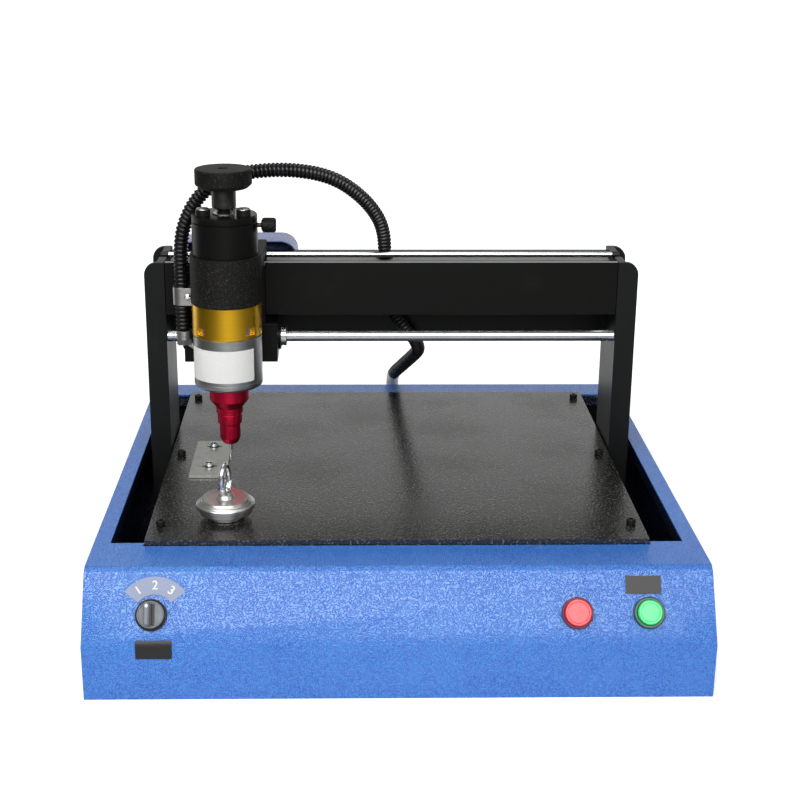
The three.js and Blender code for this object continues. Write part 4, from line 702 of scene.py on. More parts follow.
class Palette:
    """Makes each finish once and hands its material out."""

    def __init__(self, finishes: Sequence[Finish]) -> None:
        """Builds the material of each finish."""
        self.materials = {finish.slot: finish.make() for finish in finishes}

    def dress(self, piece: Piece, slot: Slot) -> None:
        """Puts one finish on a whole piece.

        Args:
            piece: The piece or CAD node.
            slot: The slot whose finish it gets.
        """
        if not piece.data.materials:
            piece.data.materials.append(self.materials[slot])
        for holder in piece.material_slots:
            holder.material = self.materials[slot]

    def dress_nodes(self, nodes: dict[str, Piece]) -> None:
        """Puts the finishes on the CAD nodes that stay, by the slot names that they carry."""
        for node in nodes.values():
            self.dress(node, Slot(node.data.materials[0].name.split(".")[0]))


class Bench:
    """Models one mesh at a time with Blender's own operators."""

    @staticmethod
    def clear() -> None:
        """Leaves nothing selected and no piece in edit mode."""
        if bpy.context.mode != "OBJECT":
            bpy.ops.object.mode_set(mode="OBJECT")
        bpy.ops.object.select_all(action="DESELECT")

    @classmethod
    def pick(cls, piece: Piece) -> None:
        """Makes a piece the only one selected, and the active one.

        Args:
            piece: The piece.
        """
        cls.clear()
        piece.select_set(True)
        bpy.context.view_layer.objects.active = piece

    @staticmethod
    def named(name: str) -> Piece:
        """Names the primitive that was just added, and its mesh.

        Args:
            name: The name.

        Returns:
            The primitive.
        """
        piece = bpy.context.object
        piece.name = name
        piece.data.name = name
        return piece

    @classmethod
    def settle(cls, piece: Piece) -> Piece:
        """Moves the object's place into its mesh, so that the object sits at the origin.

        Args:
            piece: The piece.

        Returns:
            The same piece.
        """
        cls.pick(piece)
        bpy.ops.object.transform_apply(location=True, rotation=True, scale=True)
        return piece

    @classmethod
    def stand(cls, piece: Piece, place: Vector, turn: Triple = (0.0, 0.0, 0.0)) -> Piece:
        """Turns a piece and moves it to its place.

        Args:
            piece: The piece, modelled about the origin.
            place: Where its origin goes, in the frame.
            turn: Its turn about X, Y and Z, in degrees.

        Returns:
            The same piece.
        """
        piece.rotation_euler = Euler([math.radians(angle) for angle in turn])
        piece.location = place
        return cls.settle(piece)

    @classmethod
    def block(cls, name: str, low: Sequence[float], high: Sequence[float]) -> Piece:
        """A block between two corners, in millimetres about the origin.

        Args:
            name: The piece's name.
            low: Its lowest corner.
            high: Its highest corner.

        Returns:
            The piece.
        """
        cls.clear()
        middle = [(a + b) / 2 * MM for a, b in zip(low, high)]
        size = [(b - a) * MM for a, b in zip(low, high)]
        bpy.ops.mesh.primitive_cube_add(size=1, location=middle, scale=size)
        return cls.settle(cls.named(name))

    @classmethod
    def turned(cls, name: str, outline: Outline, sides: int = 64) -> Piece:
        """A turned piece: an outline drawn by extruding a point, then spun about Z.

        Args:
            name: The piece's name.
            outline: Radius and height of each corner, in millimetres, from axis to axis or back to its start.
            sides: How many steps the spin takes.

        Returns:
            The piece, about the origin.
        """
        cls.clear()
        bpy.ops.mesh.primitive_plane_add(size=MM)
        piece = cls.named(name)
        bpy.ops.object.mode_set(mode="EDIT")
        bpy.ops.mesh.select_mode(type="VERT")
        bpy.ops.mesh.select_all(action="SELECT")
        bpy.ops.mesh.merge(type="CENTER")
        bpy.ops.transform.translate(value=(outline[0][0] * MM, 0, outline[0][1] * MM))
        for (radius, height), (next_radius, next_height) in zip(outline, outline[1:]):
            step = ((next_radius - radius) * MM, 0, (next_height - height) * MM)
            bpy.ops.mesh.extrude_vertices_move(TRANSFORM_OT_translate={"value": step})
        bpy.ops.mesh.select_all(action="SELECT")
        bpy.ops.mesh.remove_doubles(threshold=1e-7)
        bpy.ops.mesh.select_all(action="SELECT")
        bpy.ops.mesh.spin(steps=sides, angle=2 * math.pi, center=(0, 0, 0), axis=(0, 0, 1))
        cls.close()
        return piece

    @staticmethod
    def close() -> None:
        """Merges what meets, turns every face outwards and leaves edit mode."""
        bpy.ops.mesh.select_all(action="SELECT")
        bpy.ops.mesh.remove_doubles(threshold=1e-6)
        bpy.ops.mesh.dissolve_degenerate(threshold=1e-7)
        bpy.ops.mesh.select_all(action="SELECT")
        bpy.ops.mesh.normals_make_consistent(inside=False)
        bpy.ops.object.mode_set(mode="OBJECT")

    @classmethod
    def select(cls, piece: Piece, kind: str, wanted: Callable[[], Sequence[bool]]) -> None:
        """Opens a piece in edit mode with some of its faces or edges selected.

        Args:
            piece: The piece.
            kind: FACE or EDGE.
            wanted: Says of each face or edge, in their order, whether it is selected.
        """
        cls.pick(piece)
        bpy.ops.object.mode_set(mode="EDIT")
        bpy.ops.mesh.select_mode(type=kind)
        bpy.ops.mesh.select_all(action="DESELECT")
        bpy.ops.object.mode_set(mode="OBJECT")
        parts = piece.data.polygons if kind == "FACE" else piece.data.edges
        parts.foreach_set("select", wanted())
        bpy.ops.object.mode_set(mode="EDIT")

    @classmethod
    def select_faces(cls, piece: Piece, test: Callable[[Vector, Vector], bool]) -> None:
        """Opens a piece in edit mode with the faces selected whose middle and normal pass a test."""
        cls.select(piece, "FACE", lambda: [test(face.center, face.normal) for face in piece.data.polygons])

    @classmethod
    def select_edges(cls, piece: Piece, test: Callable[[Vector, Vector], bool]) -> None:
        """Opens a piece in edit mode with the edges selected whose two ends pass a test.

        Args:
            piece: The piece.
            test: Says of the places of an edge's two ends whether it is selected.
        """

        def ends(edge: bpy.types.MeshEdge) -> tuple[Vector, Vector]:
            """The places of an edge's two ends."""
            return tuple(piece.data.vertices[corner].co for corner in edge.vertices)

        cls.select(piece, "EDGE", lambda: [test(*ends(edge)) for edge in piece.data.edges])

    @classmethod
    def prism(cls, name: str, corners: int, radius: float, low: float, high: float) -> Piece:
        """An upright prism, in millimetres about the origin.

        Args:
            name: The piece's name.
            corners: How many corners it has.
            radius: The radius of its corners.
            low: Its lowest height.
            high: Its highest height.

        Returns:
            The piece.
        """
        cls.clear()
        middle = (0, 0, (low + high) / 2 * MM)
        bpy.ops.mesh.primitive_cylinder_add(
            vertices=corners, radius=radius * MM, depth=(high - low) * MM, location=middle
        )
        return cls.settle(cls.named(name))

    @classmethod
    def opened(cls, name: str, mesh: bpy.types.Mesh) -> Piece:
        """Adds a mesh to the scene, in edit mode with all of it selected.

        Args:
            name: The piece's name.
            mesh: Its mesh.

        Returns:
            The piece.
        """
        piece = bpy.data.objects.new(name, mesh)
        bpy.context.scene.collection.objects.link(piece)
        cls.pick(piece)
        bpy.ops.object.mode_set(mode="EDIT")
        bpy.ops.mesh.select_all(action="SELECT")
        return piece

    @classmethod
    def copied(cls, node: str, name: str) -> Piece:
        """A merged copy of a CAD node's mesh, with its flat faces whole again.

        Args:
            node: The CAD node.
            name: The new piece's name.

        Returns:
            The copy.
        """
        mesh = frame["nodes"][node].data.copy()
        mesh.name = name
        mesh.materials.clear()
        piece = cls.opened(name, mesh)
        bpy.ops.mesh.remove_doubles(threshold=1e-6)
        bpy.ops.mesh.dissolve_limited(angle_limit=math.radians(0.5))
        bpy.ops.object.mode_set(mode="OBJECT")
        bpy.ops.mesh.customdata_custom_splitnormals_clear()
        return piece

    @classmethod
    def modify(cls, piece: Piece, kind: str, **settings: object) -> Piece:
        """Adds one modifier and applies it.

        Args:
            piece: The piece.
            kind: Blender's name of the modifier type.
            settings: The modifier's own settings.

        Returns:
            The same piece.
        """
        cls.pick(piece)
        modifier = piece.modifiers.new(kind.title(), kind)
        for name, value in settings.items():
            setattr(modifier, name, value)
        bpy.ops.object.modifier_apply(modifier=modifier.name)
        return piece

    @classmethod
    def rounded(cls, piece: Piece, width: float, steps: int = 2, angle: float = 32.0) -> Piece:
        """Rounds a piece's sharp edges.

        Args:
            piece: The piece.
            width: The radius, in millimetres.
            steps: How many faces the rounding has.
            angle: The angle from which an edge counts as sharp, in degrees.

        Returns:
            The same piece.
        """
        return cls.modify(
            piece, "BEVEL", width=width * MM, segments=steps, limit_method="ANGLE",
            angle_limit=math.radians(angle), harden_normals=False,
        )

    @classmethod
    def cut(cls, piece: Piece, *tools: Piece) -> Piece:
        """Cuts tools out of a piece and throws them away.

        Args:
            piece: The piece.
            tools: The closed meshes that are cut out.

        Returns:
            The same piece.
        """
        for tool in tools:
            cls.modify(piece, "BOOLEAN", operation="DIFFERENCE", object=tool, solver="EXACT")
            bpy.data.objects.remove(tool)
        return piece

    @classmethod
    def joined(cls, name: str, pieces: Sequence[Piece]) -> Piece:
        """Joins several meshes into one piece.

        Args:
            name: The piece's name.
            pieces: The meshes, the first of which the rest join.

        Returns:
            The joined piece.
        """
        cls.pick(pieces[0])
        for piece in pieces[1:]:
            piece.select_set(True)
        bpy.ops.object.join()
        return cls.named(name)

    @classmethod
    def twin(cls, piece: Piece, name: str, move: Vector) -> Piece:
        """A copy of a finished mesh at another place, with its own mesh.

        Args:
            piece: The piece that is copied.
            name: The copy's name.
            move: How far the copy stands from it, in the frame.

        Returns:
            The copy.
        """
        cls.pick(piece)
        bpy.ops.object.duplicate(linked=False)
        copy = cls.named(name)
        copy.location = move
        return cls.settle(copy)

    @classmethod
    def smooth(cls, piece: Piece, angle: float = 35.0) -> Piece:
        """Shades a piece smooth, but for its sharp edges.

        Args:
            piece: The piece.
            angle: Edges sharper than this stay sharp, in degrees.

        Returns:
            The same piece.
        """
        cls.pick(piece)
        bpy.ops.object.shade_smooth_by_angle(angle=math.radians(angle))
        return cls.modify(piece, "WEIGHTED_NORMAL", mode="FACE_AREA", weight=100, keep_sharp=True)


@dataclass
class SubAssembly:
    """What the machine's groups share: the palette and the ways that a piece is finished."""

    palette: Palette


    def finish(self, piece: Piece, slot: Slot, body: Body, *nodes: str, angle: float = 35.0) -> Piece:
        """Shades, dresses and fixes a piece that is in its place.

        Args:
            piece: The piece.
            slot: The slot whose finish it gets.
            body: The body that it rides on.
            nodes: The CAD nodes that it stands for.
            angle: Edges sharper than this stay sharp, in degrees.

        Returns:
            The same piece.
        """
        Bench.smooth(piece, angle)
        self.palette.dress(piece, slot)
        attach(piece, body.value)
        if nodes:
            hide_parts(*nodes)
        LOG.info("%s: %d faces, on %s", piece.name, len(piece.data.polygons), body.value)
        return piece

    def eased(
        self, node: str, slot: Slot, body: Body, width: float, steps: int = 2, angle: float = 35.0
    ) -> Piece:
        """Stands in for a node with a copy whose edges are rounded, to a radius of width millimetres."""
        piece = Bench.rounded(Bench.copied(node, f"{node}_eased"), width, steps)
        return self.finish(piece, slot, body, node, angle=angle)

    def spun(
        self, name: str, outline: Outline, sides: int, slot: Slot, body: Body, *nodes: str,
        place: Vector, turn: Triple = (0.0, 0.0, 0.0), angle: float = 35.0,
    ) -> Piece:
        """Spins a piece, stands it in its place and finishes it."""
        piece = Bench.stand(Bench.turned(name, outline, sides), place, turn)
        return self.finish(piece, slot, body, *nodes, angle=angle)


@dataclass(frozen=True)
class SoftBox:
    """A rectangular lamp: its name, place, the point it faces, width and height in metres, power in watts."""

    name: str
    place: Triple
    aim: Triple
    size: Pair
    power: float


@dataclass
class Studio:
    """The camera of the photograph, the floor, and the light.

    The camera's place and angles were fitted to the photograph's straight edges and circles.
    """

    eye: Triple = (-45.77, -1152.60, 670.63)
    pitch: float = 18.32
    yaw: float = 1.01
    roll: float = 0.22
    lens: float = 66.90
    shift: Pair = (0.0289, -0.0065)
    ambient: float = 0.14
    unlit: float = 0.2
    unlit_behind: float = 0.06
    front_floor: float = 0.68
    side_floor: float = 0.05
    floor_fade: Pair = (0.5, 1.1)
    side_fade: Pair = (0.1, 1.0)
    back_fade: Pair = (0.3, 0.6)
    unlit_turn: Pair = (0.5, 0.8)
    backdrop_width: Pair = (0.76, 0.88)
    backdrop_top: Pair = (0.37, 0.435)
    soft_boxes: tuple[SoftBox, ...] = (
        SoftBox("key_box", (-0.3, -1.85, 1.45), (0.0, -0.25, 0.08), (2.9, 1.3), 55.0),
        SoftBox("overhead_box", (-0.2, 0.35, 2.1), (0.0, 0.05, 0.1), (1.6, 1.0), 12.0),
        SoftBox("right_box", (1.9, -0.9, 0.9), (0.0, 0.0, 0.15), (0.6, 1.0), 3.0),
    )

    def build(self) -> None:
        """Sets up everything that isn't part of the machine."""
        self.camera()
        self.floor()
        for box in self.soft_boxes:
            self.lamp(box)
        self.sky()
        bpy.context.scene.view_settings.view_transform = "Standard"

    @staticmethod
    def added(name: str, data: bpy.types.Camera | bpy.types.Light) -> Piece:
        """Adds a camera or a lamp to the scene.

        Args:
            name: Its name.
            data: The camera or the light.

        Returns:
            Its object.
        """
        item = bpy.data.objects.new(name, data)
        bpy.context.scene.collection.objects.link(item)
        return item

    def camera(self) -> None:
        """Adds the camera at the photograph's viewing angle."""
        data = bpy.data.cameras.new("camera")
        data.sensor_width = 36.0
        data.sensor_fit = "HORIZONTAL"
        data.lens = self.lens
        data.shift_x, data.shift_y = self.shift
        data.clip_end = 100.0
        camera = self.added("camera", data)
        upright = Matrix.Rotation(math.radians(90.0 - self.pitch), 4, "X")
        turn = Matrix.Rotation(math.radians(-self.yaw), 4, "Z")
        tilt = Matrix.Rotation(math.radians(self.roll), 4, "Z")
        camera.matrix_world = Matrix.Translation(spot(*self.eye)) @ turn @ upright @ tilt
        bpy.context.scene.camera = camera

    def floor(self) -> None:
        """Adds a plain pale floor, white to the camera further off, with the machine's shadow close to it."""
        Bench.clear()
        bpy.ops.mesh.primitive_plane_add(size=60.0, location=(0, 0, 0))
        floor = Bench.named("studio_floor")
        graph = Graph.material("studio_floor")
        pale = graph.mix(graph.noise(400.0, 2.0) * 0.5, tint(246, 246, 246), tint(250, 250, 250))
        across, back, _ = graph.axes()
        white, black = (1.0, 1.0, 1.0), (0.0, 0.0, 0.0)
        off = ((across * across + back * back) ** 0.5).above(*self.floor_fade)
        gloss, clear, direct = (graph.ray(kind) for kind in ("Glossy", "Transmission", "Camera"))
        side = across.size().above(*self.side_fade)
        front = graph.mix(side, (self.front_floor,) * 3, (self.side_floor,) * 3)
        mirrored = graph.mix(back.above(*self.back_fade), front, white)
        plain = graph.mix(direct.larger(clear), black, graph.mix(off, (0.5, 0.5, 0.5), white))
        graph.shade(
            Base_Color=graph.mix(gloss, pale, black), Roughness=0.9, Specular_IOR_Level=0.1,
            Emission_Color=graph.mix(gloss, plain, mirrored), Emission_Strength=1.0,
        )
        floor.data.materials.append(graph.owner)

    def lamp(self, box: SoftBox) -> None:
        """Adds one soft box.

        Args:
            box: What it is like.
        """
        data = bpy.data.lights.new(box.name, "AREA")
        data.shape = "RECTANGLE"
        data.size, data.size_y = box.size
        data.energy = box.power
        lamp = self.added(box.name, data)
        lamp.location = box.place
        lamp.rotation_euler = (Vector(box.aim) - Vector(box.place)).to_track_quat("-Z", "Y").to_euler()

    def sky(self) -> None:
        """Lights the surroundings: a white backdrop behind the machine, and a dim room that metal mirrors."""
        world = bpy.data.worlds.new("studio")
        bpy.context.scene.world = world
        graph = Graph(world)
        _, back, up = graph.axes(graph.node("ShaderNodeTexCoord", output="Generated"))
        backdrop = back.above(*self.backdrop_width) * (1 - up.above(*self.backdrop_top))
        dim = graph.mix(back.above(*self.unlit_turn), (self.unlit,) * 3, (self.unlit_behind,) * 3)
        room = graph.mix(backdrop, dim, (1.0, 1.0, 1.0))
        light = graph.mix(graph.ray("Glossy"), (self.ambient,) * 3, room)
        light = graph.mix(graph.ray("Camera").larger(graph.ray("Transmission")), light, (1.0, 1.0, 1.0))
        surface = graph.node("ShaderNodeBackground", values={"Color": light, "Strength": 1.0})
        graph.node("ShaderNodeOutputWorld", values={"Surface": surface})


@dataclass
class Hose(SubAssembly):
    """The black ribbed hose of the marking head, in two stretches, and its metal elbow."""

    outside: float = 7.5
    groove: float = 6.1
    pitch: float = 4.2
    sides: int = 20
    rings_per_rib: int = 6
    upper: Route = (
        (-213, 290, 259), (-213, 290, 274), (-213, 290, 289), (-213, 290, 305), (-213, 290, 322),
        (-212.6, 290, 338), (-211.5, 290, 351), (-209.2, 290.3, 362.5), (-205.5, 291.5, 373),
        (-200.5, 293.5, 383), (-193.3, 296.5, 393), (-183.5, 300, 402), (-171, 303, 409.5),
        (-156.5, 305.5, 414.3), (-140, 308, 416.5), (-117, 313.5, 417.3), (-93.5, 321, 415),
        (-70, 331, 408.8), (-53, 338.8, 400.5), (-39, 347, 389.8), (-26.5, 355.5, 377),
        (-17.5, 363, 364.5), (-11, 369.8, 351.5), (-7.4, 375.4, 337.5), (-6.3, 377.9, 326),
        (-6, 378.5, 315.3), (-6, 378.5, 300.3),
    )
    lower: Route = (
        (-6, 378.5, 300), (-6, 378.5, 285), (-2.8, 377.6, 267), (5.5, 376.7, 251), (16, 378.4, 236.3),
        (25.5, 385, 222.5), (31, 397, 210), (32.5, 412, 200), (30.5, 427.7, 191), (27.8, 443.6, 182.6),
        (25, 459.5, 174.3), (22, 475.4, 166), (19.2, 491.3, 157.7), (16.4, 507.3, 149.5),
        (13.7, 523.4, 141.5), (11.8, 539.7, 133.7), (11, 553.4, 127.6),
    )
    elbow: Route = (
        (11, 553.7, 127.5), (10.4, 563.5, 123.1), (9.9, 571.5, 116.3), (9.6, 576.3, 107),
        (9.6, 576.3, 97), (9.6, 571.5, 88.5), (9.6, 562, 85), (9.6, 549, 85),
    )
    upper_length: float = 0.421
    lower_length: float = 0.2816

    def build(self) -> None:
        upper = self.tube("hose_arch", self.upper, self.pitch, self.groove, self.outside)
        self.lay(upper, (Body.CARRIAGE, Body.GANTRY), "hose_upper", self.upper, self.upper_length)
        lower = self.tube("hose_drop", self.lower, self.pitch, self.groove, self.outside)
        self.lay(lower, (Body.GANTRY, Body.BASE), "hose_lower", self.lower, self.lower_length)
        elbow = self.tube("hose_elbow_sleeve", self.elbow, 2.6, self.outside - 0.5, self.outside)
        self.finish(elbow, Slot.ZINC, Body.BASE, "hose_elbow", angle=60.0)

    def lay(self, piece: Piece, bodies: tuple[Body, Body], node: str, route: Route, length: float) -> None:
        """Args:
            piece: The stretch.
            bodies: The bodies at the start and at the end of its route. Not used.
            node: The CAD stretch.
            route: The points of its route, in millimetres.
            length: Its real length, in metres. Not used.
        """
        Bench.smooth(piece, 60.0)
        self.palette.dress(piece, Slot.HOSE)
        path = self.smooth_line(route, 2.0)
        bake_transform(piece)
        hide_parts(node)
        self.outside * 2 * MM

    @staticmethod
    def smooth_line(route: Route, step: float) -> list[Vector]:
        """The smooth curve through a route, in even steps.

        Args:
            route: Its points, in millimetres.
            step: The length of a step, in millimetres, which is fitted to the whole length.

        Returns:
            The curve's points in the frame.
        """
        points = [spot(*point) for point in route]
        points = [points[0] * 2 - points[1], *points, points[-1] * 2 - points[-2]]
        fine = []
        for p0, p1, p2, p3 in zip(points, points[1:], points[2:], points[3:]):
            d0, d1, d2 = (math.sqrt((b - a).length) for a, b in ((p0, p1), (p1, p2), (p2, p3)))
            t1 = ((p1 - p0) / d0 - (p2 - p0) / (d0 + d1) + (p2 - p1) / d1) * d1
            t2 = ((p2 - p1) / d1 - (p3 - p1) / (d1 + d2) + (p3 - p2) / d2) * d1
            for index in range(24):
                t = index / 24
                cubic = (p1 - p2) * 2 + t1 + t2
                square = (p2 - p1) * 3 - t1 * 2 - t2
                fine.append(p1 + t1 * t + square * t**2 + cubic * t**3)
        fine.append(points[-2])
        reach = [0.0]
        for a, b in zip(fine, fine[1:]):
            reach.append(reach[-1] + (b - a).length)
        count = max(2, round(reach[-1] / (step * MM)))
        line = []
        place = 0
        for index in range(count + 1):
            wanted = reach[-1] * index / count
            while place < len(reach) - 2 and reach[place + 1] < wanted:
                place += 1
            share = (wanted - reach[place]) / (reach[place + 1] - reach[place])
            line.append(fine[place].lerp(fine[place + 1], share))
        return line

    def tube(self, name: str, route: Route, pitch: float, groove: float, outside: float) -> Piece:
        """A ribbed tube along a route, closed at its ends.

        Args:
            name: The piece's name.
            route: The points of its route, in millimetres.
            pitch: From rib to rib, in millimetres.
            groove: The radius between the ribs, in millimetres.
            outside: The radius on the ribs, in millimetres.

        Returns:
            The piece.
        """
        line = self.smooth_line(route, 1.0)
        length = sum((b - a).length for a, b in zip(line, line[1:])) / MM
        ribs = max(4, round(length / pitch))
        line = self.smooth_line(route, length / (ribs * self.rings_per_rib))
        rise = (0.0, 0.5, 0.93, 1.0, 0.93, 0.5)
        normal = Vector((0, 1, 0))
        corners = []
        for index, point in enumerate(line):
            ahead = (line[min(index + 1, len(line) - 1)] - line[max(index - 1, 0)]).normalized()
            normal = (normal - ahead * normal.dot(ahead)).normalized()
            across = ahead.cross(normal)
            radius = (groove + (outside - groove) * rise[index % self.rings_per_rib]) * MM
            for side in range(self.sides):
                turn = 2 * math.pi * side / self.sides
                corners.append(point + (normal * math.cos(turn) + across * math.sin(turn)) * radius)
        faces = []
        for ring in range(len(line) - 1):
            start = ring * self.sides
            for side in range(self.sides):
                after = (side + 1) % self.sides
                above = start + self.sides
                faces.append((start + side, start + after, above + after, above + side))
        last = (len(line) - 1) * self.sides
        faces.append(tuple(reversed(range(self.sides))))
        faces.append(tuple(range(last, last + self.sides)))
        mesh = bpy.data.meshes.new(name)
        mesh.from_pydata(corners, [], faces)
        piece = Bench.opened(name, mesh)
        bpy.ops.mesh.normals_make_consistent(inside=False)
        bpy.ops.object.mode_set(mode="OBJECT")
        return piece


@dataclass
class MarkingHead(SubAssembly):
    """The head: black tube with its cap, gold ring, silver body, red nose and stylus."""

    axis: Pair = HEAD_AXIS
    tube_radius: float = 32.3
    tube_wall: float = 3.8
    tube_span: Pair = (300.0, 376.0)
    cap_span: Pair = (376.3, 383.0)
    spindle_bore: float = 7.3
    stop_place: Pair = (12.5, -9.5)
    stop_turn: float = 25.0
    screw_circle: float = 22.8
    screw_radius: float = 7.2
    screw_height: float = 8.0
    ring_radius: float = 34.7
    ring_span: Pair = (262.3, 294.7)
    sleeve_span: Pair = (258.0, 350.0)
    sleeve_radii: Pair = (24.0, 28.2)
    notch_turns: Sequence[float] = (44.5, 134.5, 224.5, 314.5)
    notch_shape: Triple = (5.8, 3.6, 11.0)
    collar_radius: float = 31.2
    body_radius: float = 34.4
    body_span: Pair = (208.5, 262.0)

    def at_axis(self, height: float = 0.0) -> Vector:
        """A place on the head's axis, in the frame."""
        return spot(*self.axis, height)

    def build(self) -> None:
        """Makes the head from its cap down to the stylus."""
        self.tube()
        self.cap()
        self.cap_screws()
        self.ring()
        self.body()
        self.nose()
        self.stylus()

    def tube(self) -> None:
        """Makes the black tube, eased at its ends and drilled for the lock screw."""
        low, high = self.tube_span
        inner = self.tube_radius - self.tube_wall
        tube = Bench.turned("head_barrel", (
            (inner, low), (self.tube_radius - 0.6, low), (self.tube_radius, low + 0.6),
            (self.tube_radius, high - 0.7), (self.tube_radius - 0.7, high), (inner, high), (inner, low),
        ), 96)
        drill = Bench.turned("drill", ((0, 0), (2.5, 0), (2.5, 20), (0, 20)), 24)
        Bench.stand(drill, Vector((22, 0, LOCK_HEIGHT)) * MM, (0, 90, 0))
        Bench.cut(tube, drill)
        Bench.stand(tube, self.at_axis())
        self.finish(tube, Slot.BLACK, Body.CARRIAGE, "head_tube")

    def cap(self) -> None:
        """Makes the cap: a black rim, its face, and the bright bush round the spindle."""
        low, high = self.cap_span
        bore, radius = self.spindle_bore, self.tube_radius
        self.spun("cap_rim", (
            (bore, low), (radius - 0.5, low), (radius, low + 0.5), (radius, high - 1.4),
            (radius - 0.5, high - 0.9), (radius - 0.5, high - 0.4), (bore, high - 0.4), (bore, low),
        ), 96, Slot.BLACK, Body.CARRIAGE, "head_cap", place=self.at_axis())
        self.spun("cap_face", (
            (11.6, high - 0.4), (radius - 0.5, high - 0.4), (radius - 1.2, high), (11.6, high),
            (11.6, high - 0.4),
        ), 72, Slot.BLACK, Body.CARRIAGE, place=self.at_axis())
        self.spun("cap_bush", (
            (bore, high - 0.4), (11.5, high - 0.4), (11.5, high + 0.6), (10.9, high + 1.1), (8.6, high + 1.1),
            (8.0, high + 0.7), (bore, high + 0.6), (bore, high - 0.4),
        ), 72, Slot.NICKEL, Body.CARRIAGE, place=self.at_axis())
        stop = Bench.turned("cap_stop_screw", ((0, 0), (3.1, 0), (3.1, 6.6), (2.6, 7.1), (0, 7.1)), 24)
        Bench.cut(stop, Bench.block("slot", (-4, -0.5, 5.4), (4, 0.5, 8)))
        Bench.stand(stop, self.at_axis(high) + Vector((*self.stop_place, 0)) * MM, (0, 0, self.stop_turn))
        self.finish(stop, Slot.NICKEL, Body.CARRIAGE)

    def cap_screws(self) -> None:
        """Makes the three socket screws: a dark knurled head, and a bright domed top with its socket."""
        height = self.screw_height
        radius = self.screw_radius
        head = Bench.turned("cap_screw", (
            (0, 0), (radius - 0.3, 0), (radius, 0.4), (radius, height - 2.2), (radius - 0.5, height - 1.5),
            (0, height - 1.5),
        ), 72)
        self.flute(head, 72, radius, (0.5, height - 2.3), 0.18)
        top = Bench.turned("cap_screw_top", (
            (0, height - 1.5), (radius - 0.7, height - 1.5), (radius - 0.9, height - 0.9),
            (radius - 1.7, height - 0.3), (radius - 2.8, height), (0, height),
        ), 48)
        Bench.cut(top, Bench.prism("key_hole", 6, 3.3, height - 1.3, height + 1))
        for index in range(3):
            turn = math.radians(90 + 120 * index)
            side = Vector((math.cos(turn), math.sin(turn), 0)) * self.screw_circle * MM
            place = self.at_axis(self.cap_span[1]) + side
            self.finish(Bench.twin(head, f"cap_screw_head_{index + 1}", place), Slot.OXIDE, Body.CARRIAGE)
            self.finish(Bench.twin(top, f"cap_screw_top_{index + 1}", place), Slot.NICKEL, Body.CARRIAGE)
        bpy.data.objects.remove(head)
        bpy.data.objects.remove(top)

    @staticmethod
    def flute(piece: Piece, sides: int, radius: float, span: Pair, depth: float) -> None:
        """Presses every second side face of a turned piece inwards, as a straight knurl.

        Args:
            piece: The piece, about the origin.
            sides: How many sides its spin has.
            radius: The radius of the knurled band, in millimetres.
            span: The band's lowest and highest place, in millimetres.
            depth: How deep the flutes are, in millimetres.
        """

        def every_second(middle: Vector, normal: Vector) -> bool:
            """Picks every second side face of the band.

            Args:
                middle: The face's middle.
                normal: Its normal.

            Returns:
                Whether the face is picked.
            """
            if abs(normal.z) > 0.3 or not span[0] * MM < middle.z < span[1] * MM:
                return False
            if math.hypot(middle.x, middle.y) < radius * 0.98 * MM:
                return False
            turn = math.atan2(middle.y, middle.x) % (2 * math.pi)
            return int(turn / (2 * math.pi) * sides) % 2 == 0

        Bench.select_faces(piece, every_second)
        bpy.ops.mesh.inset(thickness=0.06 * MM, depth=-depth * MM, use_individual=True)
        bpy.ops.object.mode_set(mode="OBJECT")

    def ring(self) -> None:
        """Makes the gold ring nut with its spanner notches, and the bright guide sleeve that they bare."""
        low, high = self.ring_span
        bottom, top = self.sleeve_span
        bore, sleeve = self.sleeve_radii
        collar = self.collar_radius
        ring = Bench.turned("ring_nut", (
            (collar + 0.05, low), (self.ring_radius - 0.5, low), (self.ring_radius, low + 0.5),
            (self.ring_radius, high - 0.6), (self.ring_radius - 0.6, high), (sleeve + 0.05, high),
            (sleeve + 0.05, low + 13), (collar + 0.05, low + 13), (collar + 0.05, low),
        ), 120)
        half, floor, roof = self.notch_shape
        for turn in self.notch_turns:
            notch = Bench.block(
                "notch", (-half, sleeve + 1, low + floor), (half, self.ring_radius + 5, low + roof)
            )
            Bench.cut(ring, Bench.stand(notch, Vector((0, 0, 0)), (0, 0, 180 - turn)))
        Bench.rounded(ring, 0.25, 2, 50)
        Bench.stand(ring, self.at_axis())
        self.finish(ring, Slot.GOLD, Body.HEAD, "head_ring", angle=30.0)
        self.spun("guide_sleeve", (
            (bore, bottom), (sleeve, bottom), (sleeve, low + 0.3), (collar, low + 0.3), (collar, low + 12.9),
            (sleeve, low + 12.9), (sleeve, top), (self.spindle_bore, top),
            (self.spindle_bore, top - 6), (bore, top - 6), (bore, bottom),
        ), 96, Slot.NICKEL, Body.HEAD, place=self.at_axis(), angle=30.0)

    def body(self) -> None:
        """Makes the silver body with its rounded lower edge and its seam under the ring."""
        low, high = self.body_span
        radius = self.body_radius
        self.spun("solenoid_body", (
            (2.8, low), (radius - 3.0, low), (radius - 1.9, low + 0.35), (radius - 0.9, low + 1.0),
            (radius - 0.3, low + 1.9), (radius, low + 3.0), (radius, low + 6.2), (radius - 0.35, low + 6.6),
            (radius, low + 7.0), (radius, high - 0.8), (radius - 0.8, high), (28.5, high), (28.5, low + 6.5),
            (2.8, low + 6.5), (2.8, low),
        ), 120, Slot.SILVER, Body.HEAD, "head_body", place=self.at_axis(), angle=28.0)
        label = self.eased("head_label", Slot.WHITE_FILM, Body.HEAD, 0.12)
        label.name = "head_label_film"

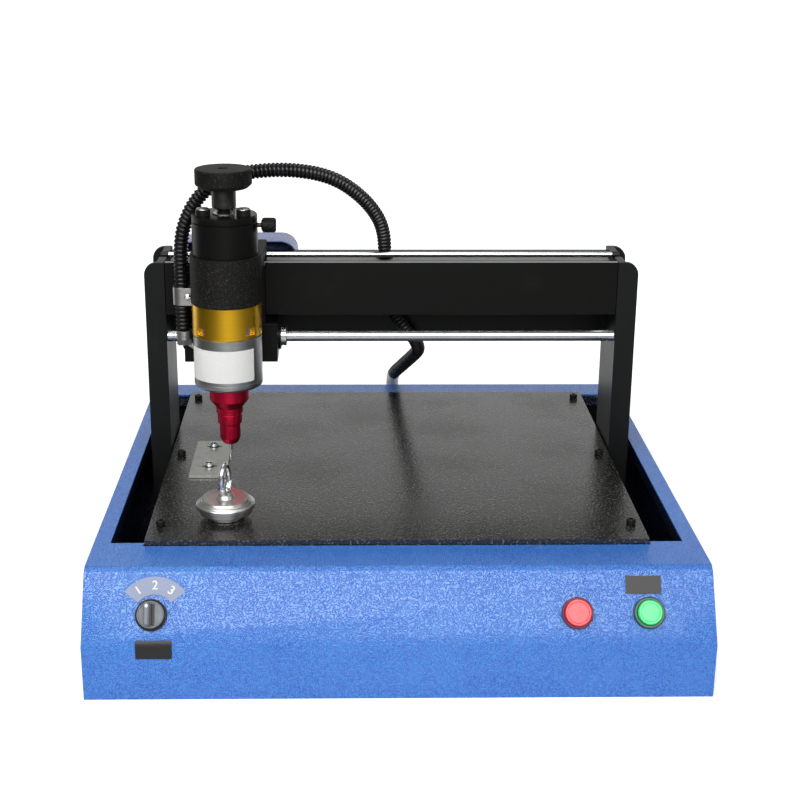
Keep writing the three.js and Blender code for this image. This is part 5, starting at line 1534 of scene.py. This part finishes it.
    def nose(self) -> None:
        """Makes the red nose: flange, shoulder and three steps, each with its edge eased."""
        self.spun("nose_cone", (
            (2.8, 144.8), (6.2, 144.8), (7.4, 145.5), (8.8, 147.6), (10.0, 150.2), (10.5, 152.0),
            (10.5, 165.8), (10.7, 166.4), (11.6, 166.7), (12.1, 167.1), (12.4, 167.8), (12.4, 176.6),
            (12.0, 177.1), (12.0, 177.7), (12.9, 178.0), (13.5, 178.6), (13.5, 183.9), (14.0, 185.2),
            (15.4, 187.0), (19.2, 191.6), (19.8, 192.7), (19.8, 206.9), (18.9, 208.2), (2.8, 208.2),
            (2.8, 144.8),
        ), 96, Slot.RED, Body.HEAD, "head_nose", place=self.at_axis(), angle=25.0)

    def stylus(self) -> None:
        """Makes the plunger, needle and hard marking point in one."""
        self.spun("marking_stylus", (
            (0, 124.0), (0.3, 124.6), (1.0, 128.0), (1.0, 145.0), (1.6, 146.2), (2.3, 148.2), (2.5, 149.0),
            (2.5, 218.7), (12.1, 218.7), (12.1, 253.7), (0, 253.7),
        ), 40, Slot.STEEL, Body.STYLUS, "stylus", place=self.at_axis())


@dataclass
class HeightAdjuster(SubAssembly):
    """The height knob on its threaded spindle, and the lock screw at the head's right."""

    axis: Pair = HEAD_AXIS
    radius: float = 28.0
    span: Pair = (408.5, 427.5)
    stem_radius: float = 12.0
    stem_bottom: float = 389.0
    spindle_radius: float = 7.0
    spindle_bottom: float = 330.0
    sides: int = 144

    def build(self) -> None:
        """Makes the knob, its stem and spindle, and the lock screw."""
        self.knob()
        self.stem()
        self.lock_screw()

    def knob(self) -> None:
        """Makes the knob: a straight knurl between two chamfers, and a shallow dish on top."""
        low, high = self.span
        radius = self.radius
        knob = Bench.turned("height_knob_grip", (
            (0, low), (radius - 5.0, low), (radius - 4.2, low + 0.3), (radius - 0.6, low + 3.4),
            (radius - 0.15, low + 4.4), (radius - 0.15, high - 1.3), (radius - 0.9, high - 0.2),
            (radius - 1.6, high), (5.0, high - 0.1), (4.4, high - 1.2), (0, high - 1.2),
        ), self.sides)
        MarkingHead.flute(knob, self.sides, radius, (low + 4.3, high - 1.2), 0.4)
        Bench.stand(knob, spot(*self.axis, 0))
        self.finish(knob, Slot.ROUGH, Body.KNOB, "height_knob", angle=30.0)

    def stem(self) -> None:
        """Makes the smooth stem and, under it, the thread that runs down into the head."""
        outline = [(0, self.spindle_bottom), (self.spindle_radius - 1.0, self.spindle_bottom)]
        height = self.spindle_bottom + 1.0
        while height < self.stem_bottom - 1.2:
            outline += [(self.spindle_radius - 0.9, height), (self.spindle_radius, height + 0.7),
                        (self.spindle_radius, height + 0.9)]
            height += 1.5
        low, high = self.stem_bottom, self.span[0]
        outline += [
            (self.spindle_radius - 0.9, low), (self.stem_radius - 0.8, low), (self.stem_radius, low + 0.8),
            (self.stem_radius, high - 0.05), (0, high - 0.05),
        ]
        place = spot(*self.axis, 0)
        self.spun("height_spindle", outline, 48, Slot.OXIDE, Body.KNOB, place=place, angle=25.0)

    def lock_screw(self) -> None:
        """Makes the lock screw: a thin shank and a barrel head with a coarse knurl."""
        shank = Bench.turned("lock_shank", ((0, 29.8), (1.9, 29.8), (2.2, 30.3), (2.2, 37.0), (0, 37.0)), 24)
        head = Bench.turned("lock_screw_grip", (
            (0, 36.0), (4.6, 36.0), (5.2, 36.6), (6.6, 37.1), (7.3, 38.4), (7.3, 48.6), (6.5, 49.9),
            (5.6, 50.4), (2.4, 50.4), (2.0, 49.9), (0, 49.9),
        ), 40)
        MarkingHead.flute(head, 40, 7.3, (38.6, 48.4), 0.7)
        for piece in (shank, head):
            Bench.stand(piece, spot(*self.axis, LOCK_HEIGHT), (0, 90, 0))
        self.finish(head, Slot.ROUGH, Body.LOCK, "lock_screw", angle=30.0)
        self.finish(shank, Slot.OXIDE, Body.LOCK)


@dataclass
class Carriage(SubAssembly):
    """The bearing block on the lower rod, the head's clamp, and the hose's strap and ferrule."""

    bush_half: float = 56.7
    bush_radius: float = 10.4
    strap_screw: Triple = (-206.0, 278.9, 295.0)
    ferrule_foot: Triple = (-212.0, 290.4, 244.6)
    tail_end: Triple = (-201.5, 290.0, 240.0)
    tail_lean: float = -52.0

    def build(self) -> None:
        """Makes the carriage's pieces."""
        self.eased("carriage_block", Slot.BLACK, Body.CARRIAGE, 0.7)
        self.eased("head_clamp", Slot.ROUGH, Body.CARRIAGE, 0.6)
        self.eased("hose_strap", Slot.NICKEL, Body.CARRIAGE, 0.25)
        self.ferrule()
        self.screw_on_strap()
        self.bush()

    def bush(self) -> None:
        """Makes the linear bush: a ground sleeve with a retaining groove and a dark seal at each end."""
        half, radius = self.bush_half, self.bush_radius
        outline = [(8.2, -half), (radius - 0.5, -half), (radius, -half + 0.5)]
        for place in (-half + 3.0, half - 4.2):
            outline += [
                (radius, place), (radius - 0.6, place), (radius - 0.6, place + 1.2), (radius, place + 1.2)
            ]
        outline += [(radius, half - 0.5), (radius - 0.5, half), (8.2, half), (8.2, -half)]
        bush = Bench.turned("bush_sleeve", outline, 64)
        seals = []
        for sign in (-1, 1):
            low, high = sorted((sign * (half - 0.4), sign * (half - 3.4)))
            seals.append(Bench.turned("bush_seal", (
                (6.3, low), (8.15, low), (8.15, high), (6.3, high), (6.3, low)), 48))
        seal = Bench.joined("bush_seals", seals)
        for piece, slot, nodes in ((bush, Slot.STEEL, ("linear_bush",)), (seal, Slot.DARK_PLASTIC, ())):
            Bench.stand(piece, spot(HEAD_AXIS[0], *LOWER_ROD), (0, 90, 0))
            self.finish(piece, slot, Body.CARRIAGE, *nodes)

    def ferrule(self) -> None:
        """Makes the hose's ferrule: a crimped sleeve on a hexagon, and its thin tail towards the head."""
        sleeve = Bench.turned("hose_ferrule_sleeve", (
            (0, 4.0), (8.1, 4.0), (8.4, 4.3), (8.4, 7.4), (7.9, 7.7), (7.9, 8.5), (8.4, 8.8), (8.4, 12.6),
            (8.0, 13.0), (0, 13.0),
        ), 48)
        nut = Bench.rounded(Bench.prism("hose_ferrule_nut", 6, 8.6, -1.5, 4.0), 0.4)
        piece = Bench.joined("hose_ferrule_fitting", [sleeve, nut])
        Bench.stand(piece, spot(*self.ferrule_foot))
        self.finish(piece, Slot.NICKEL, Body.CARRIAGE, "hose_ferrule", angle=30.0)
        self.spun(
            "hose_ferrule_tail", ((0, 0), (3.1, 0), (3.6, 0.5), (3.6, 16.0), (0, 16.0)), 32, Slot.NICKEL,
            Body.CARRIAGE, place=spot(*self.tail_end), turn=(0, self.tail_lean, 0), angle=30.0,
        )

    def screw_on_strap(self) -> None:
        """Makes the pan-head screw that holds the strap to the clamp."""
        screw = Bench.turned("strap_screw", (
            (0, 0), (3.5, 0), (3.5, 0.9), (3.1, 1.9), (2.2, 2.5), (1.0, 2.7), (0, 2.7)), 40)
        Bench.cut(screw, Bench.block("slot", (-2.6, -0.45, 1.6), (2.6, 0.45, 4)))
        Bench.stand(screw, spot(*self.strap_screw), (90, 0, 0))
        self.finish(screw, Slot.STEEL, Body.CARRIAGE, angle=28.0)


@dataclass
class Gantry(SubAssembly):
    """Uprights, front and rear plates, the crossbar, the two rods and the motor's cover; the belt drive is
    not made here.
    """

    inside: float = 233.8
    upper_rod: Pair = (362.0, 319.4)
    rod_end: float = 8.2
    front_top: Pair = (320.6, 320.5)
    shelf_top_reflection: Pair = (366.0, 311.7)
    hose_hole: Pair = (-6.0, 12.5)

    def build(self) -> None:
        """Makes the gantry's pieces."""
        for side in ("left", "right"):
            self.eased(f"upright_{side}", Slot.GRAPHITE, Body.GANTRY, 0.8)
        self.eased("front_plate", Slot.BLACK, Body.GANTRY, 0.6)
        self.eased("rear_plate", Slot.BLACK, Body.GANTRY, 0.5)
        self.eased("crossbar", Slot.GRAPHITE, Body.GANTRY, 0.8)
        self.eased("motor_cover", Slot.BLUE, Body.GANTRY, 1.4, 3)
        self.painted_edge_highlights()
        self.rods()

    def painted_edge_highlights(self) -> None:
        """Lays thin grey sheets on the top of the front plate and of the shelf behind it: a painted highlight
        on the plate's edge and a painted reflection on the shelf, drilled where the hose passes.
        """
        half = self.inside - 0.8
        front = Bench.block("front_plate_top_highlight", (-half, 0.5, -0.1), (half, 5.5, 0.12))
        Bench.stand(Bench.rounded(front, 0.08), spot(0, *self.front_top))
        shelf = Bench.block("shelf_top_reflection", (-half, 0.8, -0.1), (half, 26.0, 0.12))
        drill = Bench.turned("drill", ((0, -2), (9.2, -2), (9.2, 2), (0, 2)), 48)
        Bench.cut(shelf, Bench.stand(drill, Vector((*self.hose_hole, 0)) * MM))
        Bench.stand(shelf, spot(0, *self.shelf_top_reflection))
        # Both sheets take the grey case finish: a painted highlight on the front plate's edge and a painted
        # reflection of the backdrop on the shelf.
        for piece in (front, shelf):
            self.finish(piece, Slot.CASE, Body.GANTRY)

    def rods(self) -> None:
        """Makes the two ground rods, the thin one with black end pieces in the uprights' slots as painted
        shade.
        """
        half = self.inside
        self.spun(
            "upper_rod_bar", ((0, -half), (3, -half), (3, half), (0, half)), 40, Slot.STEEL, Body.GANTRY,
            "upper_rod", place=spot(0, *self.upper_rod), turn=(0, 90, 0),
        )
        # The thin rod's ends inside the uprights' slots are black pieces: painted shade.
        for sign, name in ((-1, "left"), (1, "right")):
            self.spun(f"upper_rod_shaded_end_{name}", (
                (0, 0), (3, 0), (3, self.rod_end - 0.6), (2.4, self.rod_end), (0, self.rod_end),
            ), 40, Slot.OXIDE, Body.GANTRY, place=spot(sign * half, *self.upper_rod), turn=(0, 90 * sign, 0))
        outline = [
            (0, -half), (5.4, -half), (6, -half + 0.6), (6, 7 - half), (5.5, 7 - half), (5.5, 8 - half),
            (6, 8 - half),
        ]
        outline += [(radius, -place) for radius, place in reversed(outline)]
        self.spun(
            "lower_rod_bar", outline, 64, Slot.STEEL, Body.GANTRY, "lower_rod",
            place=spot(0, *LOWER_ROD), turn=(0, 90, 0),
        )


@dataclass
class WorkTable(SubAssembly):
    """The dark plate with its six screws, the stop plate and the holding magnet."""

    top: float = 115.5
    edge: float = 221.5
    rows: Sequence[float] = (120.0, 305.5, 491.0)
    stop_x: float = -188.5
    stop_rows: Pair = (264.3, 322.3)
    magnet_place: Pair = (-162.0, 141.0)
    eye_turn: float = 74.0
    eye_height: float = 37.0
    eye_radii: Pair = (11.6, 2.6)
    eye_thick_below: float = 4.0
    eye_stretch: Triple = (0.86, 1.0, 1.27)

    def build(self) -> None:
        """Makes the table's pieces."""
        self.eased("table_plate", Slot.SPECKLE, Body.BASE, 0.8)
        self.table_screws()
        self.eased("stop_plate", Slot.ZINC, Body.STOP, 0.3)
        self.stop_screws()
        self.magnet()

    def table_screws(self) -> None:
        """Makes the six socket screws from one."""
        screw = Bench.turned("socket_screw", (
            (0, -17.7), (2.5, -17.7), (2.5, 0.3), (4.1, 0.3), (4.4, 0.6), (4.4, 4.7), (4.1, 5.1), (3.7, 5.3),
            (0, 5.3),
        ), 48)
        MarkingHead.flute(screw, 48, 4.4, (0.7, 4.6), 0.12)
        Bench.cut(screw, Bench.prism("key_hole", 6, 2.35, 2.6, 6.6))
        places = [spot(side, row, self.top) for side in (-self.edge, self.edge) for row in self.rows]
        for number, place in enumerate(places, 1):
            copy = Bench.twin(screw, f"table_screw_head_{number}", place)
            self.finish(copy, Slot.OXIDE, Body.BASE, f"table_screw_{number}")
        bpy.data.objects.remove(screw)

    def stop_screws(self) -> None:
        """Makes the two slotted pan-head screws of the stop plate, each on its dark washer."""
        screw = Bench.turned("pan_screw", (
            (0, -6.4), (2.0, -6.4), (2.0, 3.9), (3.8, 3.9), (3.8, 6.4), (3.4, 7.3), (2.4, 7.9),
            (1.0, 8.1), (0, 8.1),
        ), 40)
        Bench.cut(screw, Bench.block("slot", (-4.2, -0.5, 6.8), (4.2, 0.5, 9)))
        washer = Bench.turned("stop_washer", (
            (2.05, 3.1), (4.9, 3.1), (5.1, 3.3), (5.1, 3.7), (4.9, 3.88), (2.05, 3.88), (2.05, 3.1)), 40)
        for number, row in enumerate(self.stop_rows, 1):
            place = spot(self.stop_x, row, self.top)
            copy = Bench.twin(screw, f"stop_screw_head_{number}", place)
            self.finish(copy, Slot.STEEL, Body.BASE, f"stop_screw_{number}")
            self.finish(Bench.twin(washer, f"stop_washer_{number}", place), Slot.OXIDE, Body.BASE)
        bpy.data.objects.remove(screw)
        bpy.data.objects.remove(washer)

    def magnet(self) -> None:
        """Makes the pot magnet: foot, broad flange, dished plateau, collar, and the oval eye sunk in it."""
        foot = spot(*self.magnet_place, self.top)
        self.spun("magnet_pot", (
            (0, 0.3), (17.0, 0.3), (17.4, 0.7), (17.4, 5.2), (23.8, 5.2), (24.9, 5.8), (25.3, 7.0),
            (25.3, 9.6), (26.6, 10.0), (27.8, 10.8), (28.0, 11.7), (28.0, 14.4), (27.5, 15.2), (26.5, 15.6),
            (25.8, 15.9), (25.3, 16.7), (24.5, 17.3), (23.6, 17.5), (23.1, 18.1), (22.8, 18.9), (22.2, 19.6),
            (21.2, 19.8), (18.5, 19.5), (9.6, 19.4), (8.6, 19.8), (8.0, 21.2), (7.5, 22.6), (6.7, 23.4),
            (5.0, 23.7), (0, 23.7),
        ), 112, Slot.NICKEL, Body.MAGNET, "magnet", place=foot, angle=28.0)
        Bench.clear()
        ring, wire = self.eye_radii
        bpy.ops.mesh.primitive_torus_add(
            major_radius=ring * MM, minor_radius=wire * MM, major_segments=64, minor_segments=20,
            rotation=(math.pi / 2, 0, 0),
        )
        eye = Bench.settle(Bench.named("magnet_eye"))
        Bench.select_faces(eye, lambda middle, normal: middle.z < -self.eye_thick_below * MM)
        bpy.ops.transform.resize(value=(1.0, 1.5, 1.0))
        bpy.ops.object.mode_set(mode="OBJECT")
        eye.scale = self.eye_stretch
        Bench.settle(eye)
        Bench.modify(eye, "SUBSURF", levels=1, render_levels=1)
        Bench.stand(eye, Vector((0, 0, self.eye_height)) * MM, (0, 0, self.eye_turn))
        Bench.stand(eye, foot)
        self.finish(eye, Slot.STEEL, Body.MAGNET, angle=28.0)


@dataclass
class BaseCase(SubAssembly):
    """The sheet-metal base and what is bolted into it."""

    bend_setback: float = 4.4
    bend_steps: int = 5
    near: float = 0.2
    easing: float = 1.2

    def build(self) -> None:
        """Makes the bent shell, and eases the edges of the power inlet in its rear wall."""
        self.shell()
        self.eased("power_inlet", Slot.DARK_PLASTIC, Body.BASE, 0.6)

    def shell(self) -> None:
        """Makes the bent shell: a wide round bend above the panel, and every other edge eased."""
        shell = Bench.copied("base_shell", "base_case")
        bend = spot(0, PANEL_RUN, PANEL_FOOT + PANEL_RISE)

        def along_bend(first: Vector, second: Vector) -> bool:
            """Whether an edge lies along the outer line of the upper bend."""
            return all(math.hypot(end.y - bend.y, end.z - bend.z) < self.near * MM for end in (first, second))

        Bench.select_edges(shell, along_bend)
        bpy.ops.mesh.bevel(offset=self.bend_setback * MM, segments=self.bend_steps, affect="EDGES")
        bpy.ops.object.mode_set(mode="OBJECT")
        Bench.rounded(shell, self.easing, 3)
        self.finish(shell, Slot.BLUE, Body.BASE, "base_shell")


@dataclass
class ControlPanel(SubAssembly):
    """The selector with its scale, the two push buttons and the bare labels on the sloped panel."""

    rise: float = 28.5
    selector_x: float = -219.0
    scale_shift: float = 2.7
    scale_figures: Sequence[tuple[str, float]] = (("1", 34.0), ("2", 0.0), ("3", -34.0))
    figure_size: float = 11.0
    figure_circle: float = 26.0
    red_x: float = 157.0
    green_x: float = 220.5
    bezel_foot: Outline = ((8.3, -32), (10.9, -32), (10.9, 0.3), (13.6, 0.3), (14.1, 0.8))

    def build(self) -> None:
        """Makes everything on the panel."""
        self.push_button("red", self.red_x, 12.0, Slot.RED_LENS, Slot.MAROON, Body.RED)
        self.push_button("green", self.green_x, 11.0, Slot.GREEN_LENS, Slot.DARK_GREEN, Body.GREEN)
        self.selector()
        self.labels()
        self.figures()

    def mount(
        self, piece: Piece, x: float, slot: Slot, body: Body, *nodes: str, angle: float = 35.0
    ) -> None:
        """Sets a piece, modelled about the origin, square on the sloped panel and finishes it.

        Args:
            piece: The piece.
            x: Its place across the panel, in millimetres.
            slot: The slot whose finish it gets.
            body: The body that it rides on.
            nodes: The CAD nodes that it stands for.
            angle: Edges sharper than this stay sharp, in degrees.
        """
        slope = Matrix.Rotation(math.radians(90.0 - PANEL_LEAN), 4, "X")
        foot = Matrix.Translation(spot(x, 0, PANEL_FOOT))
        piece.matrix_world = foot @ slope @ Matrix.Translation((0, self.rise * MM, 0))
        self.finish(Bench.settle(piece), slot, body, *nodes, angle=angle)

    def push_button(self, name: str, x: float, lens: float, glass: Slot, rim: Slot, body: Body) -> None:
        """Makes one push button: its bezel and its ribbed lens.

        Args:
            name: The button's colour.
            x: Its place across the panel, in millimetres.
            lens: The lens's radius, in millimetres.
            glass: The lens's finish.
            rim: The bezel's finish.
            body: The body of the lens.
        """
        bezel = Bench.turned(f"{name}_bezel_rim", (
            *self.bezel_foot, (14.1, 4.0), (13.7, 4.9), (13.0, 5.3), (lens + 0.7, 5.3), (lens + 0.3, 4.9),
            (lens + 0.3, 1.8), (8.3, 1.8), (8.3, -32),
        ), 72)
        self.mount(bezel, x, rim, Body.BASE, f"{name}_bezel", angle=28.0)
        cap = Bench.turned(f"{name}_button_lens", (
            (0, -22), (8, -22), (8, 5.1), (lens, 5.1), (lens, 7.9), (lens - 0.3, 8.6), (lens - 1.0, 9.1),
            (lens - 2.2, 9.1), (lens - 2.6, 8.8), (lens - 3.0, 9.0), (0, 9.0),
        ), 72)
        self.mount(cap, x, glass, body, f"{name}_button", angle=28.0)

    def selector(self) -> None:
        """Makes the selector: bezel, rimmed disc, rounded grip beside a recess floored with a black sheet as
        painted shadow, and the white mark.
        """
        bezel = Bench.turned("selector_bezel_rim", (
            *self.bezel_foot, (14.1, 2.9), (13.7, 3.6), (13.1, 3.8), (12.5, 3.5), (12.4, 2.6), (8.3, 2.6),
            (8.3, -32),
        ), 72)
        self.mount(bezel, self.selector_x, Slot.DARK_PLASTIC, Body.BASE, "selector_bezel", angle=28.0)
        disc = Bench.turned("selector_disc", (
            (0, -22), (8, -22), (8, 4.1), (11.6, 4.1), (12, 4.5), (12, 7.6), (11.5, 8.1), (10.9, 8.1),
            (10.5, 7.4), (0, 7.4),
        ), 72)
        recess = Bench.rounded(Bench.block("recess", (0.7, -9.6, 5.4), (3.9, 9.6, 9)), 0.4)
        Bench.cut(disc, recess)
        self.mount(disc, self.selector_x, Slot.GREY_PLASTIC, Body.SELECTOR, "selector_knob", angle=28.0)
        grip = Bench.block("selector_grip", (-5.0, -10.6, 7.2), (0.6, 10.6, 18.6))
        Bench.rounded(grip, 2.2, 5)
        self.mount(grip, self.selector_x, Slot.GREY_PLASTIC, Body.SELECTOR, angle=40.0)
        # A black sheet on the recess floor beside the grip: painted shadow.
        slot = Bench.rounded(Bench.block("selector_slot_shadow", (0.75, -9.4, 5.5), (3.8, 9.4, 7.0)), 0.3)
        self.mount(slot, self.selector_x, Slot.BLACK_FILM, Body.SELECTOR)
        outline = ((0, 18.3), (1.5, 18.3), (1.5, 18.72), (1.2, 18.8), (0, 18.8))
        mark = Bench.turned("selector_mark", outline, 32)
        Bench.stand(mark, Vector((-2.2, 6.8, 0)) * MM)
        self.mount(mark, self.selector_x, Slot.WHITE_FILM, Body.SELECTOR)

    def labels(self) -> None:
        """Makes the crescent scale and the two bare labels."""
        films = {"scale": Slot.GREY_FILM, "label": Slot.BLACK_FILM}
        for node in ("selector_scale", "selector_label", "green_label"):
            self.eased(node, films[node.split("_")[1]], Body.BASE, 0.15)

    def figures(self) -> None:
        """Makes the scale's three figures, raised a hair above its film."""
        for figure, turn in self.scale_figures:
            Bench.clear()
            bpy.ops.object.text_add()
            words = bpy.context.object.data
            words.body = figure
            words.size = self.figure_size * MM
            words.extrude = 0.06 * MM
            words.offset = 0.12 * MM
            words.align_x = words.align_y = "CENTER"
            bpy.ops.object.convert(target="MESH")
            piece = Bench.named(f"scale_figure_{figure}")
            angle = math.radians(turn)
            reach = self.figure_circle
            place = Vector((-math.sin(angle) * reach, math.cos(angle) * reach, 0.96)) * MM
            Bench.stand(piece, place, (0, 0, turn))
            self.mount(piece, self.selector_x + self.scale_shift, Slot.WHITE_FILM, Body.BASE)


def main() -> None:
    """Builds the studio and the machine."""
    logging.basicConfig(level=logging.INFO, format="%(name)s: %(message)s")
    palette = Palette(FINISHES)
    Studio().build()
    Hose(palette).build()
    palette.dress_nodes(frame["nodes"])
    for group in (MarkingHead, HeightAdjuster, Carriage, Gantry, WorkTable, BaseCase, ControlPanel):
        group(palette).build()


if __name__ == "__main__":
    main()
